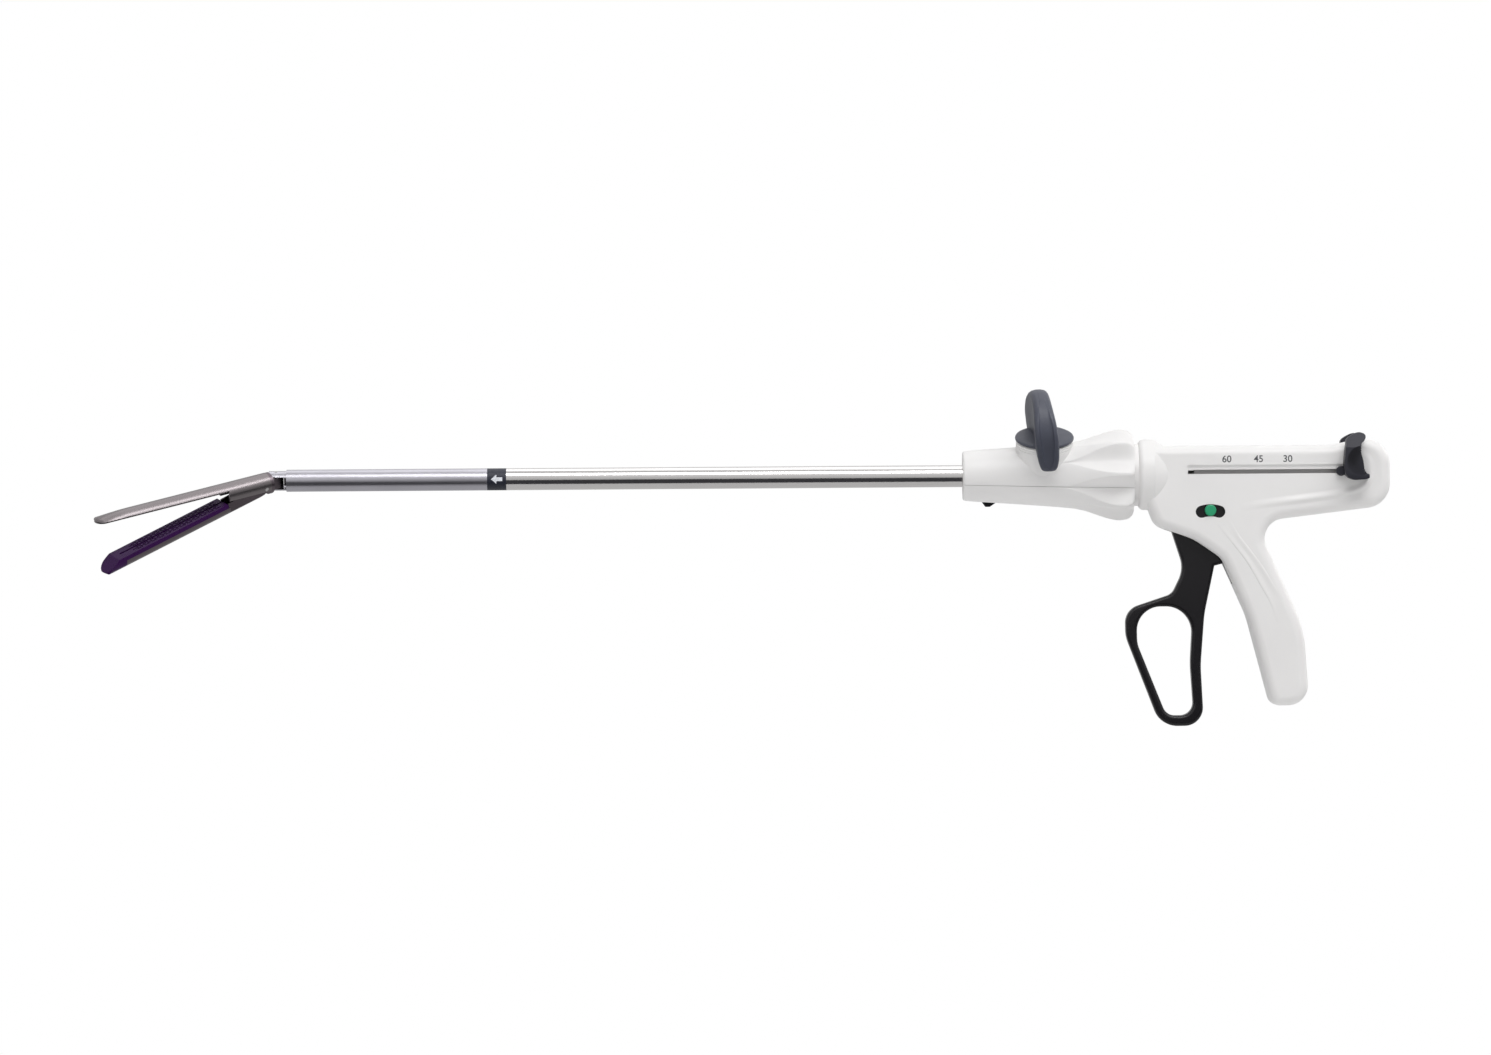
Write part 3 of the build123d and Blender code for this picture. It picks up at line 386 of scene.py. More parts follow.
finishOf = {
    warmWhite: ["handle_shell_left", "handle_shell_right", "knob_upper", "knob_lower", "rod_guides"],
    slateGrey: ["articulation_lever"],
    charcoal: ["return_knob_left", "return_knob_right"],
    triggerBlack: ["trigger", "release_button", "safety_slide"],
    safetyGreen: ["safety_button"],
    cartridgePurple: ["staple_cartridge"],
    bandNavy: ["load_band"],
    polishedSteel: ["shaft_tube"],
    satinSteel: ["reload_tube", "neck_fork"],
    anvilSteel: ["anvil_plate", "anvil_cover", "anvil_collar"],
    darkSteel: ["cartridge_carrier", "mounting_block"],
    plainSteel: [
        "trigger_pin", "drive_pawl", "pawl_pin", "drive_rack", "return_pin", "lever_crank",
        "articulation_link", "shaft_collar", "drive_rod", "neck_pins", "jaw_pins", "knife_beam",
    ],
}
weldGap = 1e-6


def softShadeTree():
    # welds the loose triangles and shades all but the real corners smooth
    inputs = [("Geometry", "Geometry", None), ("Corner Angle", "Float", math.radians(sharpAngle))]
    tree, entry, leave = groupTree("softShade", "GeometryNodeTree", inputs, [("Geometry", "Geometry")])
    feeds = {"Geometry": entry.outputs["Geometry"], "Distance": weldGap}
    weld = addNode(tree, "GeometryNodeMergeByDistance", feeds)
    smooth = addNode(tree, "GeometryNodeSetShadeSmooth", {"Geometry": weld.outputs["Geometry"]})
    smooth.domain = "FACE"
    bend = tree.nodes.new("GeometryNodeInputMeshEdgeAngle")
    feeds = {"A": bend.outputs["Unsigned Angle"], "B": entry.outputs["Corner Angle"]}
    sharp = addNode(tree, "FunctionNodeCompare", feeds, "GREATER_THAN")
    corners = addNode(tree, "GeometryNodeSetShadeSmooth", {
        "Geometry": smooth.outputs["Geometry"], "Selection": sharp.outputs["Result"], "Shade Smooth": False,
    })
    corners.domain = "EDGE"
    feedNode(tree, leave, {"Geometry": corners.outputs["Geometry"]})
    return tree


softShade = softShadeTree()
for material, names in finishOf.items():
    for name in names:
        mesh = nodes[name].data
        mesh.materials.clear()
        mesh.materials.append(material)
        smoothing = nodes[name].modifiers.new("softShade", "NODES")
        smoothing.node_group = softShade
        flats = nodes[name].modifiers.new("flats", "WEIGHTED_NORMAL")
        flats.keep_sharp = True
print("solids finished")

# rotation knob: two halves with eight deep scoops, a turret for the lever and a thin seam

knobSet = {
    # distance from the front and radius there
    "profile": [
        (0, 12.6), (0.5, 13.1), (1.6, 13.4), (26, 15.2), (50, 17), (60, 18), (66, 19.2), (72.5, 21.4),
        (79, 23.5), (85, 24.6), (89.5, 24), (91.6, 22.6), (92.6, 21.4), (93, 20.2),
    ],
    # the inside, from the rear to the front
    "inside": [
        (93, 17.3), (88.9, 17.3), (88.9, 5.95), (85.9, 5.95), (85.9, 16), (48, 13.4), (5.2, 11), (5.2, 5.95),
        (0, 5.95),
    ],
    # distance from the front and half width of a scoop there, in degrees
    "scoopWidth": [(56, 0), (60, 4), (66, 10.5), (72.6, 16.4), (82, 20.2), (93, 21)],
    # radius of a scoop's floor, its rise along the knob and where both are measured
    "scoopFloor": (16.9, 0.05, 50),
    "scoops": 8,
    "seamGap": 0.12,
    # radius and height above the shaft's axis, with two fine grooves
    "turret": [
        (3.7, 9.5), (15.5, 4), (15.5, 17.7), (15.25, 17.9), (15.5, 18.1), (15.5, 19), (15.25, 19.2),
        (15.5, 19.4), (15.5, 20.4), (15, 20.9), (3.7, 20.9),
    ],
    "turretInside": (12.9, -60, 60),
    "crankHole": (3.7, 0, 40),
    "crankSteps": 48,
    # half width, lowest and highest of the release button's slot, its gap and the button's stroke
    "slot": (3.8, -30, -9),
    "slotGap": 0.3,
    "stroke": 5,
    "frontRound": 1.6,
    "frontSteps": 7,
    "lengthSteps": 110,
    "roundSteps": 144,
}


def knobRadius(x, turn):
    base = smoothCurve(knobSet["profile"], x)
    start, rise, at = knobSet["scoopFloor"]
    floor = np.minimum(base, start + rise * (x - at))
    half = smoothCurve(knobSet["scoopWidth"], np.maximum(x, knobSet["scoopWidth"][0][0]))
    step = 360 / knobSet["scoops"]
    off = (turn + step / 2) % step - step / 2
    bite = np.clip(1 - (off / np.maximum(half, 1e-6)) ** 2, 0, 1)
    return base - (base - floor) * bite


def knobHalf(name, side):
    front = knobSet["frontRound"]
    rear = knobSet["profile"][-1][0]
    nose = np.linspace(0, front, knobSet["frontSteps"])[:-1]
    xs = np.concatenate([nose, np.linspace(front, rear, knobSet["lengthSteps"])])
    lift = knobSet["seamGap"]
    loops = []
    for turn in np.linspace(-90, 90, knobSet["roundSteps"] + 1):
        a = math.radians(turn)
        section = list(zip(xs, knobRadius(xs, turn))) + knobSet["inside"]
        loops.append([(x, r * math.sin(a), side * (r * math.cos(a) + lift)) for x, r in section])
    return loftPiece(name, loops, warmWhite, shaftFrame)


def rotationKnob():
    upper = knobHalf("knobUpperBody", 1)
    bore = rodSection(*knobSet["crankHole"])
    hole = ringPiece("crankHole", bore, warmWhite, leverSeat, knobSet["crankSteps"])
    cutAway(upper, [hole])
    turret = ringPiece("knobTurret", knobSet["turret"], warmWhite, leverSeat)
    along = leverSeat @ Matrix.Rotation(math.radians(90), 4, "Y")
    inside = ringPiece("turretInside", rodSection(*knobSet["turretInside"]), warmWhite, along)
    cutAway(turret, [inside])
    lower = knobHalf("knobLower", -1)
    low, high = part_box("release_button")
    gap = knobSet["slotGap"]
    xs = (low.x / mm - gap, high.x / mm + knobSet["stroke"] + gap)
    slot = barPiece("releaseSlot", boxCorners(*knobSet["slot"]), xs, warmWhite, shaftFrame)
    cutAway(lower, [slot])
    whole = joinPieces("knobUpper", [upper, turret])
    for piece, node in ((whole, "knob_upper"), (lower, "knob_lower")):
        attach(piece, "shaft")
        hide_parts(node)


rotationKnob()
print("rotation knob made")

# bending lever: a saddle with a lens-shaped hollow on each wing, on a thin disc

leverSet = {
    "restTurn": 5,
    # outer y, outer z, inner y, inner z, half width, rim radius, half width and depth of the hollow,
    # from a wing's tip to the crown
    "stations": [
        (-22.6, 11.3, -22.2, 11.8, 0.5, 2.2, 0.1, 0.0), (-23.5, 11.6, -22.2, 12.2, 2.7, 2.2, 0.2, 0.0),
        (-24.6, 12.5, -21.8, 12.8, 3.9, 2.2, 0.4, 0.0), (-25.4, 14.6, -20.9, 14.4, 4.8, 2.0, 1.2, 0.35),
        (-25.6, 19.0, -18.9, 18.6, 5.8, 1.8, 2.7, 1.0), (-25.3, 25.0, -17.2, 22.8, 6.2, 1.7, 3.5, 1.25),
        (-24.2, 31.0, -14.0, 22.9, 6.4, 1.8, 3.9, 1.25), (-21.8, 36.6, -11.0, 22.9, 6.2, 2.1, 3.9, 1.1),
        (-17.5, 41.6, -8.0, 22.9, 5.8, 2.6, 3.2, 0.55), (-12.0, 45.4, -5.0, 22.9, 5.4, 3.2, 2.2, 0.0),
        (-6.0, 47.7, -2.5, 22.9, 5.2, 3.6, 1.6, -0.2), (0.0, 48.5, 0.0, 22.9, 5.1, 3.6, 1.5, -0.25),
    ],
    # place across the hollow and part of its depth
    "hollow": [
        (-1, 0), (-0.9, 0.5), (-0.76, 0.9), (-0.5, 1), (0, 1.05), (0.5, 1), (0.76, 0.9), (0.9, 0.5), (1, 0),
    ],
    # height and how far the saddle leans along the shaft there
    "lean": [(11, -0.2), (20, -0.8), (31, -1.6), (40, -2.2), (49, -2.7)],
    # a section that is thinner or narrower than this has smaller details
    "fullDepth": 6,
    "fullHalf": 5,
    "rimTurns": [90, 67, 45, 22, 0],
    "rimShare": 0.8,
    # how far the sides draw in at the waist and where it lies, and how far at the foot
    "waist": (0.7, 0.55),
    "foot": 0.2,
    "steps": 121,
    "cornerAngle": 50,
    "disc": [
        (axisGap, 21.2), (15.3, 21.2), (15.9, 21.6), (16.0, 22.2), (15.7, 22.8), (14.9, 23.25), (13.4, 23.45),
        (axisGap, 23.6),
    ],
}


def leverSection(half, rim, lens, dip, deep):
    # across the saddle and inward, from the left foot over the outer face to the right foot
    small = min(1, deep / leverSet["fullDepth"], half / leverSet["fullHalf"])
    rim = min(rim, half * leverSet["rimShare"])
    edge = half - rim
    lens = min(lens, edge)
    middle = [(lens * u, dip * part) for u, part in leverSet["hollow"]]
    turns = np.radians(leverSet["rimTurns"])
    roundEdge = [(edge + rim * math.cos(a), rim * small * (1 - math.sin(a))) for a in turns]
    waist, waistAt = leverSet["waist"]
    right = roundEdge + [(half - waist * small, deep * waistAt), (half - leverSet["foot"] * small, deep)]
    left = [(-x, d) for x, d in reversed(right)]
    return left + middle + right


def bendingLever():
    stations = leverSet["stations"]
    mirrored = [(-oy, oz, -iy, *rest) for oy, oz, iy, *rest in reversed(stations[:-1])]
    table = np.array(stations + mirrored)
    at = np.linspace(0, len(table) - 1, leverSet["steps"])
    columns = [smoothCurve(list(enumerate(column)), at) for column in table.T]
    loops = []
    for outerY, outerZ, innerY, innerZ, half, rim, lens, dip in zip(*columns):
        outer = np.array([outerY, outerZ])
        inward = np.array([innerY, innerZ]) - outer
        deep = np.linalg.norm(inward)
        spots = [(x, *(outer + inward / deep * d)) for x, d in leverSection(half, rim, lens, dip, deep)]
        loops.append([(x + np.interp(z, *zip(*leverSet["lean"])), y, z) for x, y, z in spots])
    turned = leverSeat @ Matrix.Rotation(math.radians(leverSet["restTurn"]), 4, "Z")
    saddle = loftPiece("leverSaddle", loops, slateGrey, turned, leverSet["cornerAngle"])
    disc = ringPiece("leverDisc", leverSet["disc"], slateGrey, leverSeat)
    piece = joinPieces("bendingLever", [saddle, disc])
    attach(piece, "lever")
    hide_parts("articulation_lever")


bendingLever()
print("bending lever made")

# pull-back knobs: hooked finger cups with stepped floors, as X and Z in millimetres from their pin

returnSet = {
    "outline": [
        (2.2, 14.1), (2.4, 16.6), (5.6, 19.5), (9.5, 20.9), (12.4, 20.0), (13.1, 18.5), (12.4, 16.6),
        (10.4, 14.2), (11.0, 9.5), (12.2, 4.6), (12.7, 0.4), (13.6, -1.5), (14.8, -2.3), (14.8, -3.7),
        (12.2, -4.8), (7.8, -5.0), (3.8, -3.9), (1.8, -1.6), (1.2, 3.9), (1.5, 8.8), (2.2, 14.1),
    ],
    "outlineSteps": 96,
    # middle and radii of the oval cup
    "cup": (10.4, 5.4, 7.6, 7.9),
    "cupSteps": 56,
    # how far each step of the floor lies in from the cup's wall, and how far out from the handle
    "steps": [(0, 7.2), (1.4, 4.8), (2.8, 2.0)],
    # where the upper lobe starts to slope in, by how many degrees, and the height and reach of its cutter
    "lobe": (12.6, 40),
    "lobeTall": 12,
    "lobeReach": (-6, 22),
    "edge": 0.3,
    # radius, height and chamfer
    "boss": (2.7, 3.0, 0.5),
    "bossSteps": 40,
    # length, half height and thickness
    "arm": (5.0, 2.2, 2.0),
}


def plateLoops(line, levels, side, pin):
    # the path at each height out from the handle, moved in by that level's inset
    return [[(pin.x / mm + x, side * y, pin.z / mm + z) for x, z in insetPath(line, i)] for y, i in levels]


def returnKnob(name, node, side):
    low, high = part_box(node)
    pinLow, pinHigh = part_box("return_pin")
    pin = (pinLow + pinHigh) / 2
    near = min(abs(low.y), abs(high.y)) / mm
    far = max(abs(low.y), abs(high.y)) / mm
    edge = returnSet["edge"]
    line = smoothPath(returnSet["outline"], returnSet["outlineSteps"] + 1)[:-1]
    levels = [(near, edge / 2), (near + edge / 2, 0)]
    levels += [(far - edge, 0), (far - edge / 3, edge / 3), (far, edge)]
    body = loftPiece(name + "Body", plateLoops(line, levels, side, pin), charcoal)
    cupX, cupZ, wide, tall = returnSet["cup"]
    turns = np.linspace(0, 2 * math.pi, returnSet["cupSteps"], endpoint=False)
    cutters = []
    for inset, floor in returnSet["steps"]:
        ovalX = cupX + (wide - inset) * np.cos(turns)
        ovalZ = cupZ + (tall - inset) * np.sin(turns)
        levels = [(near + floor, 0), (far + cutPast, 0)]
        loops = plateLoops(np.stack([ovalX, ovalZ], axis=1), levels, side, pin)
        cutters.append(loftPiece(name + "Step", loops, charcoal))
    lobeZ, lobeSlope = returnSet["lobe"]
    top = lobeZ + returnSet["lobeTall"]
    lean = returnSet["lobeTall"] * math.tan(math.radians(lobeSlope))
    outer = far + 2 * cutPast
    wedge = [(far, lobeZ), (far - lean, top), (outer, top), (outer, lobeZ)]
    corners = [(side * y, pin.z / mm + z) for y, z in wedge]
    xs = [pin.x / mm + x for x in returnSet["lobeReach"]]
    cutters.append(barPiece(name + "Slope", corners, xs, charcoal))
    cutAway(body, cutters)
    bossR, bossY, chamfer = returnSet["boss"]
    outward = Matrix.Rotation(math.radians(-90 * side), 4, "X")
    seat = Matrix.Translation((pin.x, side * near * mm, pin.z)) @ outward
    section = [(axisGap, 0), (bossR, 0), (bossR, bossY - chamfer), (bossR - chamfer, bossY), (axisGap, bossY)]
    boss = ringPiece(name + "Boss", section, charcoal, seat, returnSet["bossSteps"])
    armX, armZ, armY = returnSet["arm"]
    corners = np.array([(0, armZ), (armX, armZ), (armX, -armZ), (0, -armZ)])
    arm = loftPiece(name + "Arm", plateLoops(corners, [(near, 0), (near + armY, 0)], side, pin), charcoal)
    piece = joinPieces(name, [body, boss, arm])
    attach(piece, "drive")
    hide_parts(node)


returnKnob("returnKnobLeft", "return_knob_left", -1)
returnKnob("returnKnobRight", "return_knob_right", 1)
print("pull-back knobs made")

# domed cover of the anvil with a round nose, in the jaw unit's own frame

anvilSet = {
    # distance from the tip and the height of the dome there
    "top": [(0, 3.5), (0.3, 3.85), (0.9, 4.15), (2, 4.45), (5, 4.9), (10, 5.48), (20, 6.0), (120, 6.0)],
    "spots": [0.02, 0.1, 0.3, 0.6, 1, 1.5, 2, 2.7, 3.5, 4.5, 6, 8, 10, 13, 16, 20, 40, 60],
    "radius": 6.0,
    "across": 33,
    "cornerAngle": 40,
    # half width and height of the channel for the knife's flange, and where it stops behind the tip
    "channel": (2.6, 1.3, 12.5),
}


def anvilCover():
    spots = [toolFrame.inverted() @ vert.co / mm for vert in nodes["anvil_cover"].data.vertices]
    front = min(spot.x for spot in spots)
    rear = max(spot.x for spot in spots)
    floor = min(spot.z for spot in spots)
    radius = anvilSet["radius"]
    widest = math.sqrt(radius ** 2 - floor ** 2)
    across = np.linspace(-1, 1, anvilSet["across"])
    arch = [math.sqrt(radius ** 2 - (widest * t) ** 2) - floor for t in across]
    loops = []
    for away in anvilSet["spots"] + [rear - front]:
        rise = (smoothCurve(anvilSet["top"], np.array([away]))[0] - floor) / (radius - floor)
        wide = min(widest, math.sqrt(radius ** 2 - max(radius - away, 0) ** 2))
        loops.append([(front + away, wide * t, floor + tall * rise) for t, tall in zip(across, arch)])
    piece = loftPiece("anvilCover", loops, anvilSteel, toolFrame, anvilSet["cornerAngle"])
    half, tall, stop = anvilSet["channel"]
    corners = boxCorners(half, floor - cutPast, floor + tall)
    xs = (front + stop, rear + cutPast)
    cutAway(piece, [barPiece("flangeChannel", corners, xs, anvilSteel, toolFrame)])
    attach(piece, "tool")
    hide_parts("anvil_cover")


anvilCover()
print("anvil cover made")

# staples in the cartridge's six rows of pockets, placed with geometry nodes in the jaw's own frame

stapleSet = {
    "first": 38.1, "pitch": 4.6, "count": 12, "pocketLength": 3.4, "rowInner": 1.4, "rowPitch": 1.15,
    "rowsPerSide": 3, "stagger": 0.5, "crown": 2.9, "wire": 0.22, "legs": 1.0, "depth": 0.8, "deckZ": 1.7,
    "size": 1.0, "heightSpread": 0.00003, "seed": 7,
}


def stapleShape():
    half = stapleSet["crown"] / 2
    wire = stapleSet["wire"]
    legs = stapleSet["legs"]
    boxes = [(-half, half, 0, wire), (-half, wire - half, wire, legs), (half - wire, half, wire, legs)]
    verts = []
    faces = []
    for x0, x1, z0, z1 in boxes:
        at = len(verts)
        for z in (z0, z1):
            verts += [(x0 * mm, -wire / 2 * mm, z * mm), (x1 * mm, -wire / 2 * mm, z * mm)]
            verts += [(x1 * mm, wire / 2 * mm, z * mm), (x0 * mm, wire / 2 * mm, z * mm)]
        faces += [[at + k for k in face] for face in loftFaces(2, 4)]
    return newPiece("stapleShape", verts, faces, plainSteel)


def stapleTree(shape):
    # a staple on every point, made real and given its finish
    inputs = [("Geometry", "Geometry", None), ("Staple Size", "Float", 1), ("Height Spread", "Float", 0)]
    tree, entry, leave = groupTree("stapleRows", "GeometryNodeTree", inputs, [("Geometry", "Geometry")])
    source = addNode(tree, "GeometryNodeObjectInfo", {"Object": shape})
    # input 3 and output 1 are the random node's own largest number and number
    feeds = {"Seed": stapleSet["seed"], 3: entry.outputs["Height Spread"]}
    spread = addNode(tree, "FunctionNodeRandomValue", feeds)
    lift = addNode(tree, "ShaderNodeCombineXYZ", {"Z": spread.outputs[1]})
    feeds = {"Geometry": entry.outputs["Geometry"], "Offset": lift.outputs[0]}
    shift = addNode(tree, "GeometryNodeSetPosition", feeds)
    place = addNode(tree, "GeometryNodeInstanceOnPoints", {
        "Points": shift.outputs[0], "Instance": source.outputs["Geometry"],
        "Scale": entry.outputs["Staple Size"],
    })
    real = addNode(tree, "GeometryNodeRealizeInstances", {0: place.outputs[0]})
    paint = addNode(tree, "GeometryNodeSetMaterial", {0: real.outputs[0], "Material": plainSteel})
    feedNode(tree, leave, {0: paint.outputs[0]})
    return tree


def stapleRows():
    z = stapleSet["deckZ"] - stapleSet["depth"] - stapleSet["legs"]
    spots = []
    for row in range(stapleSet["rowsPerSide"]):
        for index in range(stapleSet["count"]):
            steps = row % 2 * stapleSet["stagger"] + index
            d = stapleSet["first"] + steps * stapleSet["pitch"] + stapleSet["pocketLength"] / 2
            for side in (-1, 1):
                y = side * (stapleSet["rowInner"] + row * stapleSet["rowPitch"])
                spots.append((-d * mm, y * mm, z * mm))
    cloud = bpy.data.meshes.new("stapleSpots")
    cloud.from_pydata(spots, [], [])
    carrier = addObject("stapleSpots", cloud)
    shape = stapleShape()
    tree = stapleTree(shape)
    keyOf = {item.name: item.identifier for item in tree.interface.items_tree if item.in_out == "INPUT"}
    maker = carrier.modifiers.new("stapleRows", "NODES")
    maker.node_group = tree
    maker[keyOf["Staple Size"]] = stapleSet["size"]
    maker[keyOf["Height Spread"]] = stapleSet["heightSpread"]
    mesh = finalMesh(carrier)
    mesh.transform(jawFrame)
    bpy.data.objects.remove(carrier)
    bpy.data.objects.remove(shape)
    piece = addObject("staples", mesh)
    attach(piece, "jaw")


stapleRows()

# end of the drive beam where it comes out of the tube at the neck

beamSet = {"from": 4.3, "to": 8.0, "halfWidth": 2.0, "halfHeight": 2.1}


def beamEnd():
    pivotX = jointOf["articulation"]["pos_m"][0] / mm
    tall = beamSet["halfHeight"]
    corners = boxCorners(beamSet["halfWidth"], -tall, tall)
    xs = (pivotX + beamSet["from"], pivotX + beamSet["to"])
    piece = barPiece("driveBeamEnd", corners, xs, darkSteel, shaftFrame)
    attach(piece, "shaft")


beamEnd()
print("staples and beam end made")

# soft raised lines moulded on both faces of the handle, as X and Z in millimetres

ridgeSet = {
    "lines": {
        "rearRim": {
            "path": [
                (211.5, 10.7), (217.5, 9.8), (220.3, 7.2), (221.2, 3.5), (221.2, -1.0), (219.6, -5.0),
                (216, -8.0), (211, -9.8), (200, -11.9), (180, -14.4), (163, -16.5), (150, -18.6),
            ],
            "inner": 3.2, "outer": 2.6, "height": 0.95,
        },
        "gripLineFront": {
            "path": [
                (137.5, -26.5), (145.9, -36.9), (153.5, -46.9), (158.1, -54.5), (161.9, -61.4),
                (166.5, -69.8), (170.5, -81),
            ],
            "inner": 0.8, "outer": 2.6, "height": 0.32,
        },
        "gripLineRear": {
            "path": [
                (144.0, -24.0), (148.9, -33.1), (155.8, -42.3), (161.9, -50.7), (166.5, -58.3),
                (172.5, -68.5),
            ],
            "inner": 2.6, "outer": 0.8, "height": 0.32,
        },
    },
    "sunk": 0.004,
    "foot": 0.8,
    "steps": 91,
    "across": 17,
    # a line fades out over its first and last third, to this part of its height
    "fadeShare": 3,
    "fadeEnd": 0.02,
}


def ridgeLoop(spot, out, scale, ridge, side, faceY):
    loop = []
    for u in np.linspace(-1, 1, ridgeSet["across"]):
        wide = ridge["inner"] if u < 0 else ridge["outer"]
        rise = ridge["height"] * scale * 0.5 * (1 + math.cos(math.pi * u)) - ridgeSet["sunk"]
        place = spot + out * u * wide
        loop.append((place[0], side * (faceY + rise), place[1]))
    for u, wide in ((1, ridge["outer"]), (-1, ridge["inner"])):
        place = spot + out * u * wide
        loop.append((place[0], side * (faceY - ridgeSet["foot"]), place[1]))
    return loop


def handleRidges():
    faceY = handleSide / mm
    steps = ridgeSet["steps"]
    share = ridgeSet["fadeShare"]
    ends = np.minimum(np.linspace(0, share, steps), np.linspace(share, 0, steps))
    fade = smoothCurve([(0, ridgeSet["fadeEnd"]), (1, 1)], np.clip(ends, 0, 1))
    for name, ridge in ridgeSet["lines"].items():
        line = smoothPath(ridge["path"], steps)
        outs = insetPath(line, -1) - line
        for side, label in handSides:
            rows = zip(line, outs, fade)
            loops = [ridgeLoop(spot, out, scale, ridge, side, faceY) for spot, out, scale in rows]
            piece = loftPiece(name + label, loops, warmWhite)
            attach(piece, "handle")


handleRidges()
print("handle ridges made")

# printed numbers above the scale slot

scaleSet = {
    "numbers": {"60": 0.1431, "45": 0.1604, "30": 0.1762}, "z": 0.0080, "size": 0.0052, "thick": 0.00004,
    "bold": 0.00007, "curveSteps": 6,
}


def numberMesh(name, text):
    curve = bpy.data.curves.new(name, "FONT")
    curve.body = text
    curve.size = scaleSet["size"]
    curve.extrude = scaleSet["thick"]
    curve.offset = scaleSet["bold"]
    curve.align_x = "CENTER"
    curve.align_y = "CENTER"
    curve.resolution_u = scaleSet["curveSteps"]
    writer = addObject("writer", curve)
    mesh = finalMesh(writer)
    bpy.data.objects.remove(writer)
    mesh.materials.clear()
    mesh.materials.append(printInk)
    return mesh


def scaleNumbers():
    stand = Matrix.Rotation(math.radians(90), 4, "X")
    for side, label in handSides:
        turn = Matrix.Rotation(math.radians(0 if side < 0 else 180), 4, "Z")
        for text, x in scaleSet["numbers"].items():
            mesh = numberMesh("number" + text + label, text)
            place = Matrix.Translation((x, side * handleSide, scaleSet["z"]))
            mesh.transform(place @ turn @ stand)
            piece = addObject("scaleNumber" + text + label, mesh)
            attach(piece, "handle")


scaleNumbers()

# arrow printed on the band, wrapped round the tube

arrowSet = {
    "length": 6.2, "height": 5.0, "stem": 2.1, "head": 3.0, "tip": 0.1, "lift": 0.03, "sunk": 0.05,
    "shoulder": 0.02, "headSteps": 13, "stemSteps": 9, "roundSteps": 9,
}


def bandArrow():
    low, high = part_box("load_band")
    middle = (low.x + high.x) / 2 / mm
    radius = (high.z - low.z) / 2 / mm
    half = arrowSet["length"] / 2
    neckX = arrowSet["head"] - half
    headXs = np.linspace(-half, neckX, arrowSet["headSteps"])
    stemXs = np.linspace(neckX + arrowSet["shoulder"], half, arrowSet["stemSteps"])
    outline = [(x, arrowSet["height"] * (x + half) / arrowSet["head"]) for x in headXs]
    outline += [(x, arrowSet["stem"]) for x in stemXs]
    loops = []
    for x, tall in outline:
        spread = max(tall, arrowSet["tip"]) / radius
        turns = [-math.pi / 2 + step * spread for step in np.linspace(-0.5, 0.5, arrowSet["roundSteps"])]
        ring = [(radius + arrowSet["lift"], a) for a in turns]
        ring += [(radius - arrowSet["sunk"], a) for a in reversed(turns)]
        loops.append([(middle + x, r * math.sin(a), r * math.cos(a)) for r, a in ring])
    piece = loftPiece("bandArrow", loops, arrowWhite)
    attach(piece, "shaft")


bandArrow()
print("printed marks made")

# camera at the photo's angle, fitted to a frame of 1491 by 1055 pixels

cameraSet = {
    "distance": 4.0, "centre": (-0.1185, -0.0272), "frameWidth": 0.8126, "roll": 0.4, "sensor": 36,
    "reach": 40,
}


def aimCamera():
    lens = bpy.data.cameras.new("photoCamera")
    lens.sensor_width = cameraSet["sensor"]
    lens.lens = cameraSet["sensor"] * cameraSet["distance"] / cameraSet["frameWidth"]
    lens.clip_end = cameraSet["reach"]
    camera = addObject("photoCamera", lens)
    centreX, centreZ = cameraSet["centre"]
    camera.location = (centreX, -cameraSet["distance"], centreZ)
    camera.rotation_euler = (math.radians(90), math.radians(cameraSet["roll"]), 0)
    bpy.context.scene.camera = camera


aimCamera()

# pale studio

studioSet = {
    "floorDrop": 0.19, "floorSize": 14, "ambient": 0.38, "floorColor": (0.86, 0.86, 0.86), "floorShine": 0.62,
    "cardHigh": (-0.42, -0.085), "cardLow": (-0.13, -0.20), "cardReach": (-1.6, 1.5),
    "cardColor": (0.05, 0.05, 0.055),
    # height of a direction and how bright it is in reflections
    "skyShine": [(0.0, 0.62), (0.25, 0.72), (0.7, 0.95), (1.0, 0.6)],
}
lampSet = {
    "keyLamp": {"at": (0.55, -1.15, 1.7), "size": (2.2, 0.7), "power": 29},
    "fillLamp": {"at": (-1.4, -1.6, 0.5), "size": (1.2, 1.2), "power": 2},
    "topLamp": {"at": (0.1, 0.4, 1.9), "size": (2.2, 1.2), "power": 9},
    "rimLamp": {"at": (1.4, 0.9, 0.5), "size": (1.0, 1.0), "power": 5},
}


def studioLight(tree, plain, white, shine):
    # white to the camera and through glass, a pale shade in reflections, plain light for everything else
    path = tree.nodes.new("ShaderNodeLightPath")
    feeds = {0: path.outputs["Is Camera Ray"], 1: path.outputs["Is Transmission Ray"]}
    seen = addNode(tree, "ShaderNodeMath", feeds, "MAXIMUM")
    feeds = {0: path.outputs["Is Glossy Ray"], 1: plain.outputs[0], 2: shine.outputs[0]}
    mirrored = addNode(tree, "ShaderNodeMixShader", feeds)
    feeds = {0: seen.outputs[0], 1: mirrored.outputs[0], 2: white.outputs[0]}
    return addNode(tree, "ShaderNodeMixShader", feeds).outputs[0]


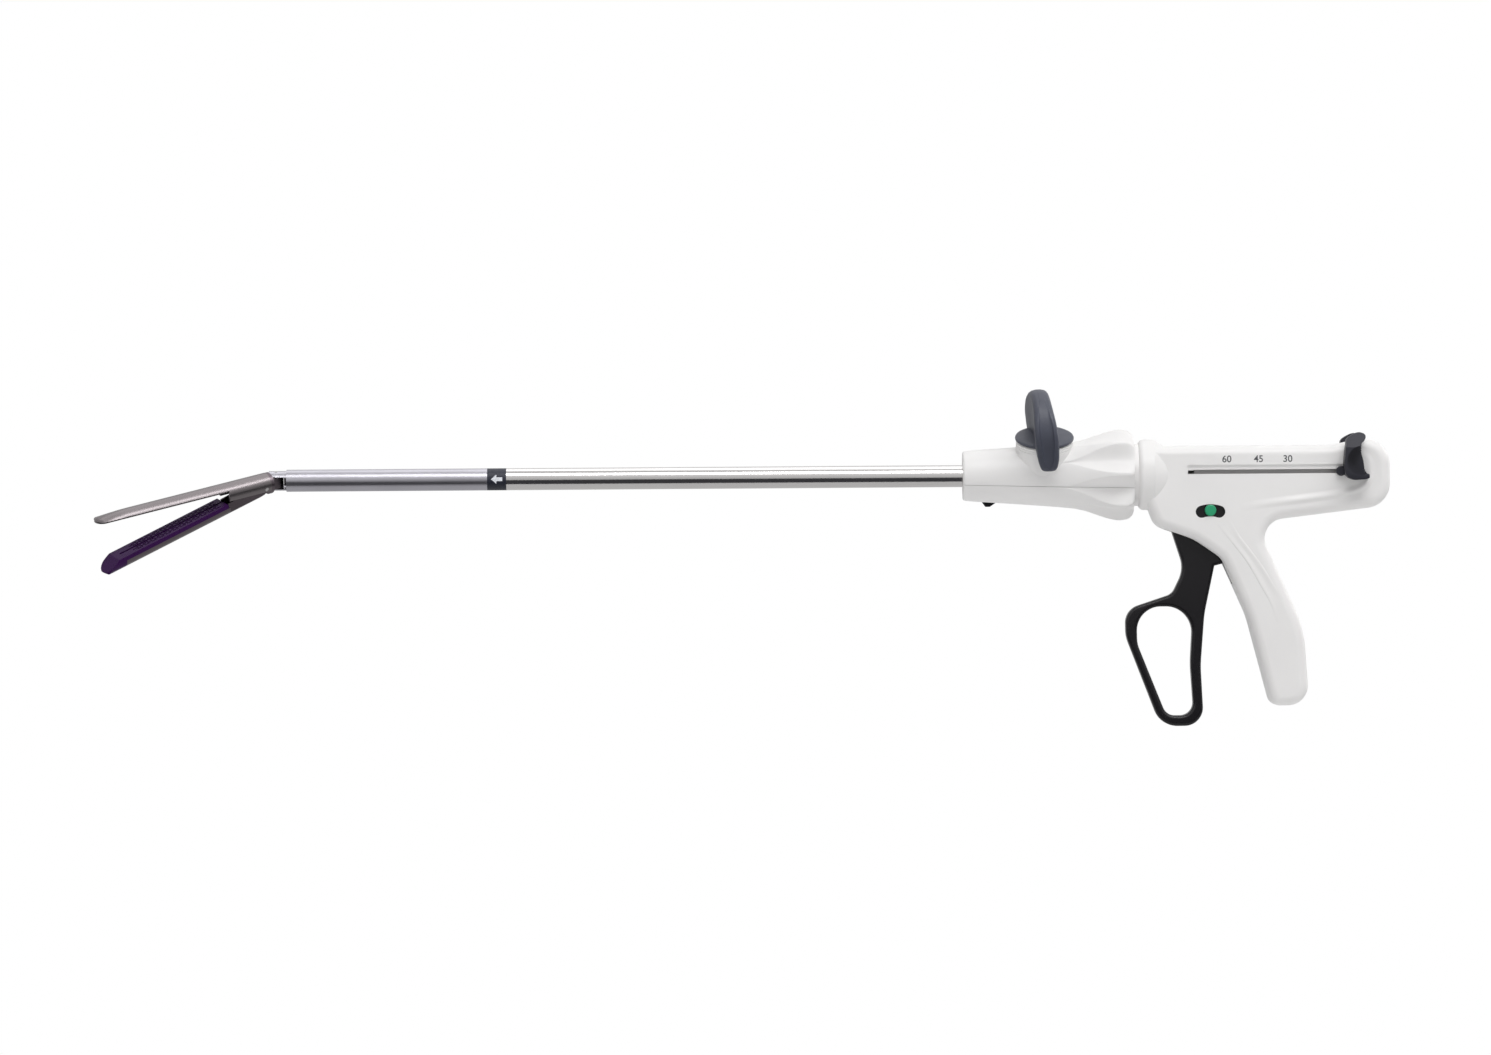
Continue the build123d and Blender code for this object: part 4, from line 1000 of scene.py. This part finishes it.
def paleRoom():
    world = bpy.data.worlds.new("paleRoom")
    bpy.context.scene.world = world
    tree = emptyTree(world)
    feeds = {"Color": (1, 1, 1, 1), "Strength": studioSet["ambient"]}
    ambient = addNode(tree, "ShaderNodeBackground", feeds)
    white = addNode(tree, "ShaderNodeBackground", {"Color": (1, 1, 1, 1)})
    look = tree.nodes.new("ShaderNodeTexCoord")
    split = addNode(tree, "ShaderNodeSeparateXYZ", {0: look.outputs["Generated"]})
    ramp = addNode(tree, "ShaderNodeValToRGB", {"Fac": split.outputs["Z"]})
    steps = ramp.color_ramp.elements
    for _ in studioSet["skyShine"][2:]:
        steps.new(0.5)
    for step, (height, level) in zip(steps, studioSet["skyShine"]):
        step.position = height
        step.color = (level, level, level, 1)
    shine = addNode(tree, "ShaderNodeBackground", {"Color": ramp.outputs["Color"]})
    addNode(tree, "ShaderNodeOutputWorld", {"Surface": studioLight(tree, ambient, white, shine)})


def paleFloor():
    floorZ = cadBox[0].z - studioSet["floorDrop"]
    half = studioSet["floorSize"] / 2
    corners = [(-half, -half, floorZ), (half, -half, floorZ), (half, half, floorZ), (-half, half, floorZ)]
    paint = bpy.data.materials.new("paleFloor")
    tree = emptyTree(paint)
    matte = addNode(tree, "ShaderNodeBsdfDiffuse", {"Color": (*studioSet["floorColor"], 1)})
    glow = tree.nodes.new("ShaderNodeEmission")
    shine = addNode(tree, "ShaderNodeEmission", {"Strength": studioSet["floorShine"]})
    addNode(tree, "ShaderNodeOutputMaterial", {"Surface": studioLight(tree, matte, glow, shine)})
    newPiece("paleFloor", corners, [(0, 1, 2, 3)], paint)


def darkCard():
    # dark card below the camera, seen only in the metal, for the dark line along the tube
    paint = bpy.data.materials.new("darkCard")
    tree = emptyTree(paint)
    black = addNode(tree, "ShaderNodeEmission", {"Color": (*studioSet["cardColor"], 1)})
    addNode(tree, "ShaderNodeOutputMaterial", {"Surface": black.outputs[0]})
    left, right = studioSet["cardReach"]
    high = studioSet["cardHigh"]
    low = studioSet["cardLow"]
    corners = [(left, *high), (right, *high), (right, *low), (left, *low)]
    card = newPiece("darkCard", corners, [(0, 1, 2, 3)], paint)
    card.visible_camera = False
    card.visible_diffuse = False
    card.visible_shadow = False


def paleStudio():
    bpy.context.scene.view_settings.view_transform = "Standard"
    paleRoom()
    paleFloor()
    darkCard()
    aim = Vector((cameraSet["centre"][0], 0, cameraSet["centre"][1]))
    for name, lamp in lampSet.items():
        light = bpy.data.lights.new(name, "AREA")
        light.shape = "RECTANGLE"
        light.size, light.size_y = lamp["size"]
        light.energy = lamp["power"]
        holder = addObject(name, light)
        holder.location = lamp["at"]
        holder.rotation_euler = (aim - Vector(lamp["at"])).to_track_quat("-Z", "Y").to_euler()


paleStudio()
print("studio set")
